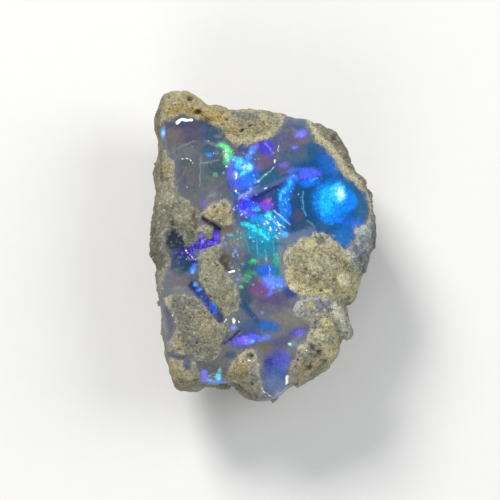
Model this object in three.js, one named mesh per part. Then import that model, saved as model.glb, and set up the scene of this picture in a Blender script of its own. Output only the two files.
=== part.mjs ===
// A rough piece of opal, still in the host rock that it grew in.
// It is one natural stone: a flattish broken slab with an uneven outline. Its top is a broken
// window of glassy opal, gently dished, with a crust of sandy host rock along its rim, plates and
// lumps of the same rock standing on it, and narrow fissures between them. Its sides are
// broken flats, and it lies on a flat broken face.
// Millimetres, +Z up, the origin at the middle of the box's foot. X runs across and Y along the slab.
import * as THREE from "three";
import { mergeVertices } from "three/addons/utils/BufferGeometryUtils.js";

// Driving dimensions.
const TOP = 10.2; // the opal window above the resting face
const GIRDLE = 5.4; // the height at which the stone is widest
const UNDERSIDE = -1.1; // where the rounded underside would end if the resting face didn't cut it
const SHOULDER = 6.5; // how square the upper edge is: 2 is round, more is squarer
const BELLY = 2.7; // the same for the lower edge
const DIVISIONS = 22; // edge divisions of the icosahedron, 20 * DIVISIONS ** 2 triangles
const FINENESS = { top: 1.7, side: 1, foot: 0.6 }; // how closely the triangles are set
const RIM = TOP - 0.8; // the window's triangles reach down to here
const FOOT = 1.0; // and those of the underside up to here
const SIDE_LUMPS = { height: 0.42, wavelength: 3.4, none: TOP - 0.3, full: TOP - 2.2 };
const ROCK_LUMPS = { height: 0.25, wavelength: 1.9, none: GIRDLE + 1.2, full: TOP - 1.2 };
const ROCK_EDGE = 0.2; // how far the rock's slope runs out beyond its outline
const CHIPS = { count: 24, depth: 1.1, spread: 2.6, below: 0.4, steep: 0.35, shallow: 1.1 };
const HOLLOW_BLUNTNESS = 0.05; // how far the rims of the hollows are worn round
const WEAR = 2; // passes that wear the broken edges down

// The widest outline, seen from above, from the right side clockwise. Straight between corners.
const OUTLINE = [
  [10.3, 1.7], [9.9, 0.4], [9.9, -0.3], [9.2, -1.6], [8.8, -2.4], [8.3, -3.6], [7.8, -4.4],
  [7.6, -5.6], [7.7, -6.8], [8.1, -7.8], [7.3, -8.5], [6.9, -9.2], [6.1, -10.0], [4.5, -11.2],
  [2.8, -12.0], [1.6, -13.0], [0.2, -13.6], [-1.2, -13.0], [-2.6, -12.1], [-4.0, -11.9],
  [-5.6, -12.1], [-7.3, -12.5], [-8.3, -12.0], [-8.8, -9.8], [-9.1, -7.5], [-9.4, -5.2],
  [-9.6, -2.9], [-9.9, -0.7], [-10.2, 1.0], [-9.8, 3.5], [-9.8, 6.4], [-9.6, 9.0],
  [-9.6, 11.0], [-10.0, 12.6], [-9.5, 14.3], [-8.4, 15.0], [-7.0, 15.2], [-5.9, 14.9],
  [-5.1, 14.3], [-3.4, 13.9], [-1.0, 13.5], [2.0, 13.0], [4.1, 12.7], [5.7, 11.8],
  [6.9, 10.8], [7.8, 9.4], [8.7, 7.9], [9.5, 6.4], [10.1, 5.0], [10.1, 3.4],
];

// Flat fracture faces: what lies beyond the plane through `at`, on the side `out` points to, is gone.
const FRACTURES = [
  { name: "front undercut", at: [-3.0, -11.4, 3.6], out: [-0.1, -0.82, -0.56] },
  { name: "left foot", at: [-9.2, 4.0, 2.6], out: [-0.82, 0.1, -0.56] },
  { name: "left step", at: [-9.9, 8.0, 6.2], out: [-0.96, 0.06, 0.26] },
  { name: "back wall", at: [-1.0, 13.4, 5.4], out: [0.23, 0.95, -0.3] },
  { name: "back ledge", at: [2.6, 12.2, 8.9], out: [0.3, 0.72, 0.62] },
  { name: "right foot", at: [9.2, -1.0, 3.2], out: [0.84, -0.12, -0.54] },
  { name: "right bevel", at: [8.9, 7.4, 9.5], out: [0.5, 0.3, 0.8] },
  { name: "lower right bevel", at: [6.4, -9.8, 8.9], out: [0.4, -0.5, 0.77] },
  { name: "front tongue", at: [1.2, -11.0, 10.0], out: [0.08, -0.55, 0.83] },
  { name: "lower left slope", at: [-8.6, -9.8, 9.5], out: [-0.4, -0.34, 0.85] },
];

// Shell-shaped hollows where a flake broke away: a ball of this radius, as deep as `depth` at `at`.
const HOLLOWS = [
  { name: "upper left window", at: [-4.6, 7.4, TOP], out: [0, 0, 1], radius: 21, depth: 0.55 },
  { name: "right window", at: [4.6, 7.2, TOP], out: [0, 0, 1], radius: 26, depth: 0.45 },
  { name: "middle window", at: [0.9, 0.2, TOP], out: [0.06, 0, 1], radius: 13, depth: 0.75 },
  { name: "left pocket", at: [-7.7, 0.4, TOP], out: [-0.2, 0, 1], radius: 2.6, depth: 0.7 },
  { name: "right flake", at: [9.9, 1.0, 4.0], out: [0.9, -0.2, -0.4], radius: 5, depth: 0.7 },
  { name: "back flake", at: [-5.4, 13.4, 4.2], out: [-0.2, 0.9, -0.4], radius: 5, depth: 0.8 },
  { name: "left flake", at: [-9.9, 7.8, 5.0], out: [-0.96, 0, -0.2], radius: 6, depth: 0.7 },
  { name: "front flake", at: [2.6, -11.6, 4.2], out: [0.3, -0.9, -0.4], radius: 5, depth: 0.7 },
];

// Host rock that stands on the window, seen from above: outline, height, and the width of its slope.
const ROCK = [
  { name: "top rim", height: 0.95, slope: 1.6, outline: [
    [-12, 11.2], [-9.0, 11.6], [-7.8, 12.0], [-6.1, 12.0], [-5.0, 11.8], [-4.0, 11.1],
    [-3.1, 10.0], [-2.4, 9.2], [-1.0, 9.6], [0.4, 10.2], [1.2, 11.0], [2.0, 12.4], [2, 17], [-12, 17],
  ] },
  { name: "right rim", height: 0.35, slope: 1.0, outline: [
    [3.6, 12.4], [4.3, 10.7], [5.0, 9.6], [6.0, 8.5], [7.0, 7.1], [8.0, 6.1], [9.0, 4.9],
    [9.5, 3.6], [9.6, 2.3], [13, 2.3], [13, 12.4],
  ] },
  { name: "right shoulder", height: 0.5, slope: 1.2, outline: [
    [9.6, 2.3], [8.4, 1.9], [8.1, 0.7], [7.6, -0.4], [8.2, -2.2], [13, -2.2], [13, 2.3],
  ] },
  { name: "nodule", height: 1.25, slope: 2.2, outline: [
    [1.7, -0.9], [2.0, -0.1], [3.0, 0.6], [5.0, 0.6], [6.9, -0.3], [7.8, -1.5], [9.2, -2.7],
    [9.2, -3.9], [8.0, -5.2], [5.3, -4.8], [3.1, -4.2], [2.2, -3.5], [1.9, -2.2],
  ] },
  { name: "lower right", height: 0.65, slope: 1.5, outline: [
    [3.3, -4.9], [6.8, -5.0], [10, -5.2], [10, -14], [2.3, -14], [2.5, -12.2], [2.3, -11.2],
    [2.7, -9.9], [3.3, -9.2], [4.0, -8.1], [3.7, -6.7],
  ] },
  { name: "lower middle", height: 0.5, slope: 1.2, outline: [
    [-3.3, -12.3], [-3.3, -11.2], [-2.6, -10.3], [-1.8, -9.7], [-0.9, -9.7], [-0.4, -10.6],
    [-0.2, -11.9], [0.1, -15], [-3.3, -15],
  ] },
  { name: "lower left plate", height: 0.55, slope: 0.9, outline: [
    [-8.8, -4.8], [-8.1, -4.4], [-7.1, -4.3], [-6.2, -4.6], [-5.3, -5.3], [-4.5, -6.3],
    [-3.7, -7.2], [-3.0, -7.9], [-3.3, -8.8], [-3.8, -9.6], [-4.3, -10.6], [-5.4, -10.7],
    [-6.3, -10.2], [-7.1, -9.9], [-8.0, -9.1], [-7.7, -8.0], [-7.8, -7.1], [-8.3, -6.1],
  ] },
  { name: "lower left corner", height: 0.45, slope: 1.0, outline: [
    [-11, -10.4], [-7.8, -10.4], [-7.0, -10.2], [-6.4, -10.6], [-5.8, -11.6], [-5.6, -15], [-11, -15],
  ] },
  { name: "left plate", height: 0.6, slope: 1.0, outline: [
    [-12, 5.2], [-9.0, 6.3], [-8.2, 5.8], [-7.3, 4.6], [-6.4, 3.8], [-5.9, 2.4], [-6.0, 0.7],
    [-6.9, -0.3], [-7.2, 0.5], [-7.6, 1.5], [-8.3, 1.8], [-8.7, 1.0], [-8.6, -0.4],
    [-8.4, -1.7], [-8.5, -3.0], [-9.2, -4.6], [-12, -4.6],
  ] },
  { name: "upper island", height: 0.9, slope: 1.3, outline: [
    [-5.6, 3.0], [-5.0, 3.5], [-4.4, 4.1], [-3.7, 4.4], [-3.1, 4.0], [-2.8, 3.2], [-2.7, 2.2],
    [-3.1, 1.9], [-4.0, 2.0], [-4.9, 2.6],
  ] },
  { name: "small island", height: 0.6, slope: 0.9, outline: [
    [-5.8, 1.9], [-5.1, 1.9], [-4.5, 1.6], [-4.5, 0.8], [-5.0, 0.5], [-5.6, 1.0],
  ] },
  { name: "long island", height: 0.75, slope: 0.9, outline: [
    [-5.5, -0.6], [-4.8, -0.2], [-4.1, 0.2], [-3.7, -0.4], [-3.7, -1.5], [-3.0, -2.7],
    [-2.3, -4.1], [-2.1, -5.3], [-2.4, -6.1], [-3.1, -6.3], [-4.0, -5.5], [-5.0, -4.4],
    [-5.6, -3.4], [-5.7, -1.9],
  ] },
];

// Narrow clefts in the window: a line seen from above, its depth and its width.
const FISSURES = [
  { name: "upper cleft", depth: 0.5, width: 1.3, line: [
    [-5.4, 2.7], [-4.6, 2.1], [-4.0, 1.4], [-4.4, 0.6], [-5.7, 0.3], [-7.1, -0.5],
  ] },
  { name: "long cleft", depth: 0.45, width: 1.3, line: [
    [-6.9, -0.6], [-6.3, -1.9], [-6.0, -3.4], [-4.9, -4.9], [-3.8, -6.7],
  ] },
  { name: "low cleft", depth: 0.35, width: 1.1, line: [[-3.5, -8.9], [-2.2, -7.6]] },
];

const clamp01 = (v) => Math.min(1, Math.max(0, v));

function smoothstep(low, high, v) {
  const t = clamp01((v - low) / (high - low));
  return t * t * (3 - 2 * t);
}

// A repeatable value from 0 to 1 for each corner of a unit lattice.
function latticeValue(i, j, k) {
  const v = Math.sin(i * 127.1 + j * 311.7 + k * 74.7) * 43758.5453;
  return v - Math.floor(v);
}

// Smooth noise from -1 to 1, with one lump in about each unit.
function noise(x, y, z) {
  const [i, j, k] = [x, y, z].map(Math.floor);
  const [u, v, w] = [x - i, y - j, z - k].map((t) => t * t * (3 - 2 * t));
  const edge = (b, c) => THREE.MathUtils.lerp(latticeValue(i, b, c), latticeValue(i + 1, b, c), u);
  const face = (c) => THREE.MathUtils.lerp(edge(j, c), edge(j + 1, c), v);
  return THREE.MathUtils.lerp(face(k), face(k + 1), w) * 2 - 1;
}

// The distance from the axis to the outline, in the direction of this angle.
function outlineRadius(angle) {
  const [c, s] = [Math.cos(angle), Math.sin(angle)];
  for (let i = 0; i < OUTLINE.length; i++) {
    const [ax, ay] = OUTLINE[i];
    const [bx, by] = OUTLINE[(i + 1) % OUTLINE.length];
    const besideA = ax * s - ay * c;
    const besideB = bx * s - by * c;
    const ahead = (ax + bx) * c + (ay + by) * s > 0;
    if (ahead && besideA * besideB <= 0 && besideA !== besideB) {
      const share = besideA / (besideA - besideB);
      return Math.hypot(ax + (bx - ax) * share, ay + (by - ay) * share);
    }
  }
  throw new Error("the outline doesn't go all the way round the axis");
}

// How far a point is inside a closed outline, or outside it as a negative distance.
function insideDistance(x, y, outline) {
  let [nearest, inside] = [Infinity, false];
  for (let i = 0, j = outline.length - 1; i < outline.length; j = i++) {
    const [ax, ay] = outline[i];
    const [bx, by] = outline[j];
    nearest = Math.min(nearest, segmentDistance(x, y, ax, ay, bx, by));
    if (ay > y !== by > y && x < ((bx - ax) * (y - ay)) / (by - ay) + ax) inside = !inside;
  }
  return inside ? nearest : -nearest;
}

function segmentDistance(x, y, ax, ay, bx, by) {
  const [dx, dy] = [bx - ax, by - ay];
  const t = clamp01(((x - ax) * dx + (y - ay) * dy) / (dx * dx + dy * dy));
  return Math.hypot(x - ax - t * dx, y - ay - t * dy);
}

function lineDistance(x, y, line) {
  let nearest = Infinity;
  for (let i = 1; i < line.length; i++)
    nearest = Math.min(nearest, segmentDistance(x, y, ...line[i - 1], ...line[i]));
  return nearest;
}

// The section from the middle of the top over the edge to the middle of the underside: a function
// that turns a share of that way into a share of the outline's radius and a height.
function makeSection() {
  const steps = 400;
  const meanRadius = 11;
  const points = [];
  for (let n = 0; n <= 2 * steps; n++) {
    const turn = (n / steps) * (Math.PI / 2);
    const [power, end] = n < steps ? [SHOULDER, TOP] : [BELLY, UNDERSIDE];
    const across = Math.sin(turn) ** (2 / power);
    points.push([across, GIRDLE + (end - GIRDLE) * Math.abs(Math.cos(turn)) ** (2 / power)]);
  }
  const way = [0];
  for (let n = 1; n < points.length; n++) {
    const [[a, low], [b, high]] = [points[n - 1], points[n]];
    const fineness = high > RIM ? FINENESS.top : high > FOOT ? FINENESS.side : FINENESS.foot;
    way.push(way[n - 1] + fineness * Math.hypot((b - a) * meanRadius, high - low));
  }
  return (share) => {
    const goal = share * way[way.length - 1];
    let n = 1;
    while (n < way.length - 1 && way[n] < goal) n++;
    const t = clamp01((goal - way[n - 1]) / (way[n] - way[n - 1]));
    return [0, 1].map((k) => THREE.MathUtils.lerp(points[n - 1][k], points[n][k], t));
  };
}

const ballCentre = ({ at, out, radius, depth }) =>
  new THREE.Vector3(...out).normalize().multiplyScalar(radius - depth).add(new THREE.Vector3(...at));

// Small fracture faces below the girdle, scattered round the stone and leaning in to its foot.
function makeChips() {
  const goldenAngle = Math.PI * (3 - Math.sqrt(5));
  return Array.from({ length: CHIPS.count }, (_, n) => {
    const [c, s] = [Math.cos(n * goldenAngle), Math.sin(n * goldenAngle)];
    const furthest = Math.max(...OUTLINE.map(([x, y]) => x * c + y * s));
    const reach = furthest - CHIPS.depth * latticeValue(n, 2, 0);
    const lean = THREE.MathUtils.lerp(CHIPS.steep, CHIPS.shallow, latticeValue(n, 1, 0));
    const height = GIRDLE - CHIPS.below - CHIPS.spread * latticeValue(n, 3, 0);
    return { at: [reach * c, reach * s, height], out: [c, s, -lean] };
  });
}

// Takes away what lies beyond each fracture face and in each shell-shaped hollow.
function breakAway(point, fractures) {
  for (const { at, out } of fractures) {
    const normal = new THREE.Vector3(...out).normalize();
    const beyond = point.clone().sub(new THREE.Vector3(...at)).dot(normal);
    if (beyond > 0) point.addScaledVector(normal, -beyond);
  }
  for (const hollow of HOLLOWS) {
    const centre = ballCentre(hollow);
    const reach = point.distanceTo(centre);
    const inside = hollow.radius - reach;
    const push = (inside + Math.hypot(inside, 2 * HOLLOW_BLUNTNESS)) / 2;
    point.sub(centre).setLength(reach + push).add(centre);
  }
}

const noiseAt = ({ x, y, z }, wavelength) => noise(x / wavelength, y / wavelength, z / wavelength);

// Raises the rock on the window and sinks the clefts, fading out down the sides.
function shapeTop(point) {
  const { x, y } = point;
  const lump = ROCK_LUMPS.height * noiseAt(point, ROCK_LUMPS.wavelength);
  let rise = 0;
  for (const { outline, height, slope } of ROCK) {
    const climb = smoothstep(-ROCK_EDGE, slope - ROCK_EDGE, insideDistance(x, y, outline));
    rise = Math.max(rise, climb * (height + lump));
  }
  for (const { line, depth, width } of FISSURES)
    rise -= depth * (1 - smoothstep(0, width / 2, lineDistance(x, y, line)));
  point.z += rise * smoothstep(ROCK_LUMPS.none, ROCK_LUMPS.full, point.z);
}

// Gives the sides and the underside their uneven broken skin. The window stays smooth.
function roughenSides(point) {
  const fade = 1 - smoothstep(SIDE_LUMPS.full, SIDE_LUMPS.none, point.z);
  const coarse = noiseAt(point, SIDE_LUMPS.wavelength);
  const fine = noiseAt(point, SIDE_LUMPS.wavelength / 2.3);
  const outward = new THREE.Vector3(point.x, point.y, (point.z - GIRDLE) * 2).normalize();
  point.addScaledVector(outward, SIDE_LUMPS.height * fade * (coarse + 0.6 * fine));
}

// Wears the sharpest crests and corners down: each vertex goes part of the way to the middle of
// its neighbours. The resting face stays flat, because its vertices keep their height.
function wearDown(geometry, passes) {
  const position = geometry.getAttribute("position");
  const neighbours = Array.from({ length: position.count }, () => new Set());
  const corners = geometry.index.array;
  for (let n = 0; n < corners.length; n += 3)
    for (let k = 0; k < 3; k++) neighbours[corners[n + k]].add(corners[n + ((k + 1) % 3)]);
  const vertex = (n) => new THREE.Vector3().fromBufferAttribute(position, n);
  for (let pass = 0; pass < passes; pass++) {
    const worn = neighbours.map((around, n) => {
      const middle = new THREE.Vector3();
      for (const other of around) middle.addScaledVector(vertex(other), 1 / around.size);
      const point = vertex(n);
      return point.z === 0 ? point : point.lerp(middle, 0.5);
    });
    worn.forEach((point, n) => position.setXYZ(n, ...point.toArray()));
  }
}

// Where a direction from the middle of the stone meets its surface.
function surfacePoint(direction, section, fractures) {
  const angle = Math.atan2(direction.y, direction.x);
  const [share, height] = section(Math.acos(THREE.MathUtils.clamp(direction.z, -1, 1)) / Math.PI);
  const radius = share * outlineRadius(angle);
  const point = new THREE.Vector3(radius * Math.cos(angle), radius * Math.sin(angle), height);
  breakAway(point, fractures);
  shapeTop(point);
  roughenSides(point);
  point.z = Math.max(point.z, 0); // the resting face
  return point;
}

function makeStone() {
  const ball = new THREE.IcosahedronGeometry(1, DIVISIONS - 1);
  ball.deleteAttribute("normal");
  ball.deleteAttribute("uv");
  const geometry = mergeVertices(ball, 1e-5);
  const position = geometry.getAttribute("position");
  const section = makeSection();
  const fractures = [...FRACTURES, ...makeChips()];
  const direction = new THREE.Vector3();
  for (let n = 0; n < position.count; n++) {
    direction.fromBufferAttribute(position, n).normalize();
    position.setXYZ(n, ...surfacePoint(direction, section, fractures).toArray());
  }
  wearDown(geometry, WEAR);
  geometry.computeBoundingBox();
  const middle = geometry.boundingBox.getCenter(new THREE.Vector3());
  geometry.translate(-middle.x, -middle.y, 0);
  geometry.computeVertexNormals();
  return geometry;
}

const opalInRock = new THREE.MeshStandardMaterial({ color: 0x7f93a6, roughness: 0.35, metalness: 0 });
const stone = new THREE.Mesh(makeStone(), opalInRock);
stone.name = "rough_opal";

const part = new THREE.Group();
part.add(stone);
export default part;
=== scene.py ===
"""A rough piece of opal in its host rock, dressed for a plain studio.

The stone is one natural piece. Its skin is drawn finely here: sandy host rock with grains and pits, and a
smooth window of glassy opal with its haze, its flashes of colour, its cracks and its glints.
"""

from __future__ import annotations

import functools
import itertools
import logging
import math
from dataclasses import dataclass, field
from enum import Enum
from typing import Any, Mapping, Sequence, Union

import bmesh
import bpy
import numpy as np
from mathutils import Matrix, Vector

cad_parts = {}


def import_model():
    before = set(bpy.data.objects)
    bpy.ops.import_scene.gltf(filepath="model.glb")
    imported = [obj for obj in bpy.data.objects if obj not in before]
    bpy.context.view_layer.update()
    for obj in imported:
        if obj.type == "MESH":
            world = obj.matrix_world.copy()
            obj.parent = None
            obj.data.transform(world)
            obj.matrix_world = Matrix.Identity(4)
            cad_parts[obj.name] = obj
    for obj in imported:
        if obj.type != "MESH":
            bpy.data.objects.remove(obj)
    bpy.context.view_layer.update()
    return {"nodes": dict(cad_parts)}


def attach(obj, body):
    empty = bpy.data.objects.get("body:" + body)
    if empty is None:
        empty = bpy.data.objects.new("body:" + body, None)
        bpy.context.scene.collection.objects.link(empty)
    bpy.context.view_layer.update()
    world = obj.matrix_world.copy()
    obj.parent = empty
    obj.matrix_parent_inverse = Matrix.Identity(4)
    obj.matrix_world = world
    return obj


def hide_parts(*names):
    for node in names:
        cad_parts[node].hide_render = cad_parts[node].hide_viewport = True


LOG = logging.getLogger("rough_opal")
MM = 0.001
AXIS = (0.067, -0.894)  # where the axis of the outline stands in the frame, mm
TOP = 10.2  # height of the opal window above the resting face, mm
LEAN = 0.268  # marks go down the walls at this slant, so those on the front lie below the ones above
RIM_PARTS = 300  # directions in which the rim is drawn to its outline
RIM_BAND = (0.72, 0.97)  # shares of the way out between which the rim is moved more and more

Array = np.ndarray
Place = tuple[float, float]  # x and y, mm
Band = tuple[float, float]  # the values between which something comes in, such as two heights in mm
Display = tuple[float, float, float]  # a colour as shown on a screen, each channel 0 to 255


def smoothstep(low: float, high: float, values: Array) -> Array:
    """A smooth climb from 0 at low to 1 at high. It falls instead where low is above high."""
    share = np.clip((values - low) / (high - low), 0.0, 1.0)
    return share * share * (3.0 - 2.0 * share)


def blend(first: Array, second: Array, share: Array) -> Array:
    """A mix of two rows of values or colours by a share for each row."""
    share = share[:, None] if first.ndim == 2 and share.ndim == 1 else share
    return first + (second - first) * share


def light(display: Display) -> Array:
    """A colour as light, from its display values of 0 to 255."""
    value = np.asarray(display, dtype=float) / 255.0
    return np.where(value <= 0.04045, value / 12.92, ((value + 0.055) / 1.055) ** 2.4)


class Noise:
    """Repeatable noise over points in space."""

    AXIS_PRIMES = (73856093, 19349663, 83492791)
    SEED_PRIME = 2654435761
    STIRS = (1274126177, 2246822519)
    WORD = 0xFFFFFFFF
    LOW_BITS = 0xFFFFFF
    AWAY = 100.0  # cells, which keeps the stone on one side of nought
    SOFT_GAIN = 1.6  # brings soft lumps to about -1 and 1
    LAYER_GAIN = 1.2
    LAYER_SEEDS = 7  # between the seeds of two layers
    SLOPE_SEEDS = 3  # between the seeds of two fields
    GRAIN_SEEDS = 5  # between the seeds of two packings
    MIDDLE_SEED = 11  # draws the middles of a packing's grains
    MARK_SEED = 17  # and their marks
    LEANS = (37.0, 101.0, 271.0)  # draw the way that a grain's face leans from its mark

    @classmethod
    def _random(cls, cell: Array, seed: int) -> Array:
        """A value from 0 to 1 for each whole-numbered cell.

        Args:
            cell: Rows of three whole numbers.
            seed: Which of many fields to read.

        Returns:
            One value for each row.
        """
        x, y, z = (cell * cls.AXIS_PRIMES).T
        mixed = x ^ y ^ z ^ (seed * cls.SEED_PRIME)
        mixed = (mixed ^ (mixed >> 13)) & cls.WORD
        mixed = (mixed * cls.STIRS[0]) & cls.WORD
        mixed = ((mixed ^ (mixed >> 16)) * cls.STIRS[1]) & cls.WORD
        return ((mixed ^ (mixed >> 15)) & cls.LOW_BITS) / (cls.LOW_BITS + 1.0)

    @classmethod
    def _vectors(cls, cell: Array, seed: int) -> Array:
        """Three values from 0 to 1 for each whole-numbered cell."""
        return np.stack([cls._random(cell, seed + k) for k in range(3)], axis=1)

    @classmethod
    def smooth(cls, points: Array, wavelength: float, seed: int = 0) -> Array:
        """Soft lumps.

        Args:
            points: Rows of x, y and z.
            wavelength: The size of a lump.
            seed: Which of many fields to read.

        Returns:
            A value of about -1 to 1 for each point.
        """
        scaled = points / wavelength + cls.AWAY
        corner = np.floor(scaled).astype(np.int64)
        inside = scaled - corner
        ease = inside**3 * (inside * (inside * 6.0 - 15.0) + 10.0)
        total = np.zeros(len(points))
        for step in itertools.product((0, 1), repeat=3):
            cell = corner + step
            slope = cls._vectors(cell, seed * cls.SLOPE_SEEDS + 1) * 2.0 - 1.0
            weight = np.prod(np.where(step, ease, 1.0 - ease), axis=1)
            total += weight * np.sum(slope * (inside - step), axis=1)
        return np.clip(total * cls.SOFT_GAIN, -1.0, 1.0)

    @classmethod
    def layered(cls, points: Array, wavelength: float, seed: int = 0, layers: int = 3) -> Array:
        """Soft lumps with finer ones on them.

        Args:
            points: Rows of x, y and z.
            wavelength: The size of the largest lump.
            seed: Which of many fields to read.
            layers: How many sizes there are, each half the last.

        Returns:
            A value of about -1 to 1 for each point.
        """
        shares = [0.5**n for n in range(layers)]
        parts = [share * cls.smooth(points, share * wavelength, seed + cls.LAYER_SEEDS * n)
                 for n, share in enumerate(shares)]
        return sum(parts) / sum(shares) * cls.LAYER_GAIN

    @classmethod
    def grains(cls, points: Array, size: float, seed: int = 0) -> "Grains":
        """Packed grains.

        Args:
            points: Rows of x, y and z.
            size: The size of a grain.
            seed: Which of many fields to read.

        Returns:
            What each point needs to know of its grain.
        """
        scaled = points / size + cls.AWAY
        corner = np.floor(scaled).astype(np.int64)
        near = np.full(len(points), np.inf)
        mark = np.zeros(len(points))
        away = np.zeros((len(points), 3))
        for step in itertools.product((-1, 0, 1), repeat=3):
            cell = corner + step
            middle = cell + cls._vectors(cell, seed * cls.GRAIN_SEEDS + cls.MIDDLE_SEED)
            reach = scaled - middle
            distance = np.linalg.norm(reach, axis=1)
            closer = distance < near
            mark = np.where(closer, cls._random(cell, seed * cls.GRAIN_SEEDS + cls.MARK_SEED), mark)
            away = np.where(closer[:, None], reach, away)
            near = np.where(closer, distance, near)
        lean = np.stack([np.modf(mark * factor)[0] * 2.0 - 1.0 for factor in cls.LEANS], axis=1)
        return Grains(near, mark, np.sum(lean * away, axis=1))


@dataclass(frozen=True)
class Grains:
    """Packed grains as each point meets them."""

    near: Array  # the distance to the middle of its grain, as a share of a grain's size
    mark: Array  # a value of 0 to 1, the same all over one grain
    tilt: Array  # the height of a flat face, turned another way on each grain, of about -1 to 1

    def tone(self, factor: float) -> Array:
        """Another value of 0 to 1, the same all over one grain."""
        return np.modf(self.mark * factor)[0]


@dataclass(frozen=True)
class Lumps:
    """Soft unevenness of one size."""

    amount: float  # the most that it adds
    size: float  # of a lump, mm
    seed: int

    def over(self, points: Array) -> Array:
        """What it adds at each point."""
        return self.amount * Noise.smooth(points, self.size, self.seed)


@dataclass(frozen=True)
class RoughLumps(Lumps):
    """Soft unevenness with finer lumps on it."""

    layers: int = 3

    def over(self, points: Array) -> Array:
        """What it adds at each point."""
        return self.amount * Noise.layered(points, self.size, self.seed, self.layers)


@dataclass(frozen=True)
class Facets:
    """Flat faces that lean every way."""

    amount: float  # the most that they stand out
    size: float  # of a face, mm
    seed: int

    def over(self, points: Array) -> Array:
        """How far they stand out at each point."""
        return self.amount * Noise.grains(points, self.size, self.seed).tilt


@dataclass(frozen=True)
class Packing:
    """Packed grains of one size."""

    size: float  # of a grain, mm
    seed: int

    def over(self, points: Array) -> Grains:
        """What each point needs to know of its grain."""
        return Noise.grains(points, self.size, self.seed)


def shift(ways: Sequence[Lumps], points: Array) -> Array:
    """How far unevenness moves each point along x and along y."""
    return np.stack([way.over(points) for way in ways], axis=1)


def line_distance(plan: Array, line: Sequence[Place]) -> Array:
    """The distance from each point to a line.

    Args:
        plan: Rows of x and y.
        line: The corners of the line. A single corner is a dot.

    Returns:
        One distance for each row.
    """
    if len(line) == 1:
        return np.hypot(plan[:, 0] - line[0][0], plan[:, 1] - line[0][1])
    nearest = np.full(len(plan), np.inf)
    for (ax, ay), (bx, by) in itertools.pairwise(line):
        along = np.array([bx - ax, by - ay])
        share = np.clip(((plan - (ax, ay)) @ along) / max(along @ along, 1e-9), 0.0, 1.0)
        away = plan - (ax, ay) - share[:, None] * along
        nearest = np.minimum(nearest, np.hypot(away[:, 0], away[:, 1]))
    return nearest


def soft_line(plan: Array, line: Sequence[Place], width: float, edge: Band) -> Array:
    """How much each point is on a line of this half width, from 0 to 1."""
    return smoothstep(edge[0] * width, edge[1] * width, line_distance(plan, line))


def inside_distance(plan: Array, outline: Sequence[Place]) -> Array:
    """How far each point is inside a closed outline.

    Args:
        plan: Rows of x and y.
        outline: Its corners.

    Returns:
        One distance for each row, negative outside.
    """
    inside = np.zeros(len(plan), dtype=bool)
    x, y = plan[:, 0], plan[:, 1]
    for (ax, ay), (bx, by) in zip(outline, (*outline[1:], outline[0])):
        if ay != by:
            inside ^= ((ay > y) != (by > y)) & (x < (bx - ax) * (y - ay) / (by - ay) + ax)
    nearest = line_distance(plan, (*outline, outline[0]))
    return np.where(inside, nearest, -nearest)


@dataclass(frozen=True)
class Patch:
    """A soft-edged oval place."""

    at: Place
    size: Place  # half its length and half its width
    turn: float = 0.0  # degrees, anticlockwise
    edge: float = 0.5  # 0 is a hard edge and 1 fades from the middle

    def share(self, plan: Array) -> Array:
        """How much each point is in it.

        Args:
            plan: Rows of x and y.

        Returns:
            A share from 0 to 1 for each row.
        """
        angle = math.radians(self.turn)
        x, y = plan[:, 0] - self.at[0], plan[:, 1] - self.at[1]
        along = (x * math.cos(angle) + y * math.sin(angle)) / self.size[0]
        across = (y * math.cos(angle) - x * math.sin(angle)) / self.size[1]
        return smoothstep(1.0 + self.edge, 1.0 - self.edge, np.hypot(along, across))


@dataclass(frozen=True)
class Spot:
    """A soft-edged patch of colour, round or drawn out."""

    at: Place
    size: Place  # half its length and half its width
    turn: float  # degrees, anticlockwise
    colour: Display
    strength: float = 1.0
    edge: float = 0.5  # 0 is a hard edge and 1 fades from the middle

    def cover(self, plan: Array) -> Array:
        """How much it covers each point, from 0 to 1."""
        return self.strength * Patch(self.at, self.size, self.turn, self.edge).share(plan)


@dataclass(frozen=True)
class Streak:
    """A soft-edged line of colour."""

    line: tuple[Place, ...]
    width: float  # half its width
    colour: Display
    strength: float = 1.0
    edge: Band = (1.5, 0.4)  # where it starts and is full, in half widths

    def cover(self, plan: Array) -> Array:
        """How much it covers each point, from 0 to 1."""
        return self.strength * soft_line(plan, self.line, self.width, self.edge)


Mark = Union[Spot, Streak]


@dataclass(frozen=True)
class Pit:
    """A small round hole or dent."""

    at: Place
    width: float  # half its width
    depth: float
    edge: Band = (1.2, 0.4)  # where it starts and is full, in half widths

    def lift(self, plan: Array) -> Array:
        """How far it lifts each point, which is down."""
        return -self.depth * soft_line(plan, (self.at,), self.width, self.edge)


@dataclass(frozen=True)
class Crust:
    """A piece of host rock on the window, seen from above."""

    tone: Display
    outline: tuple[Place, ...]


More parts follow.
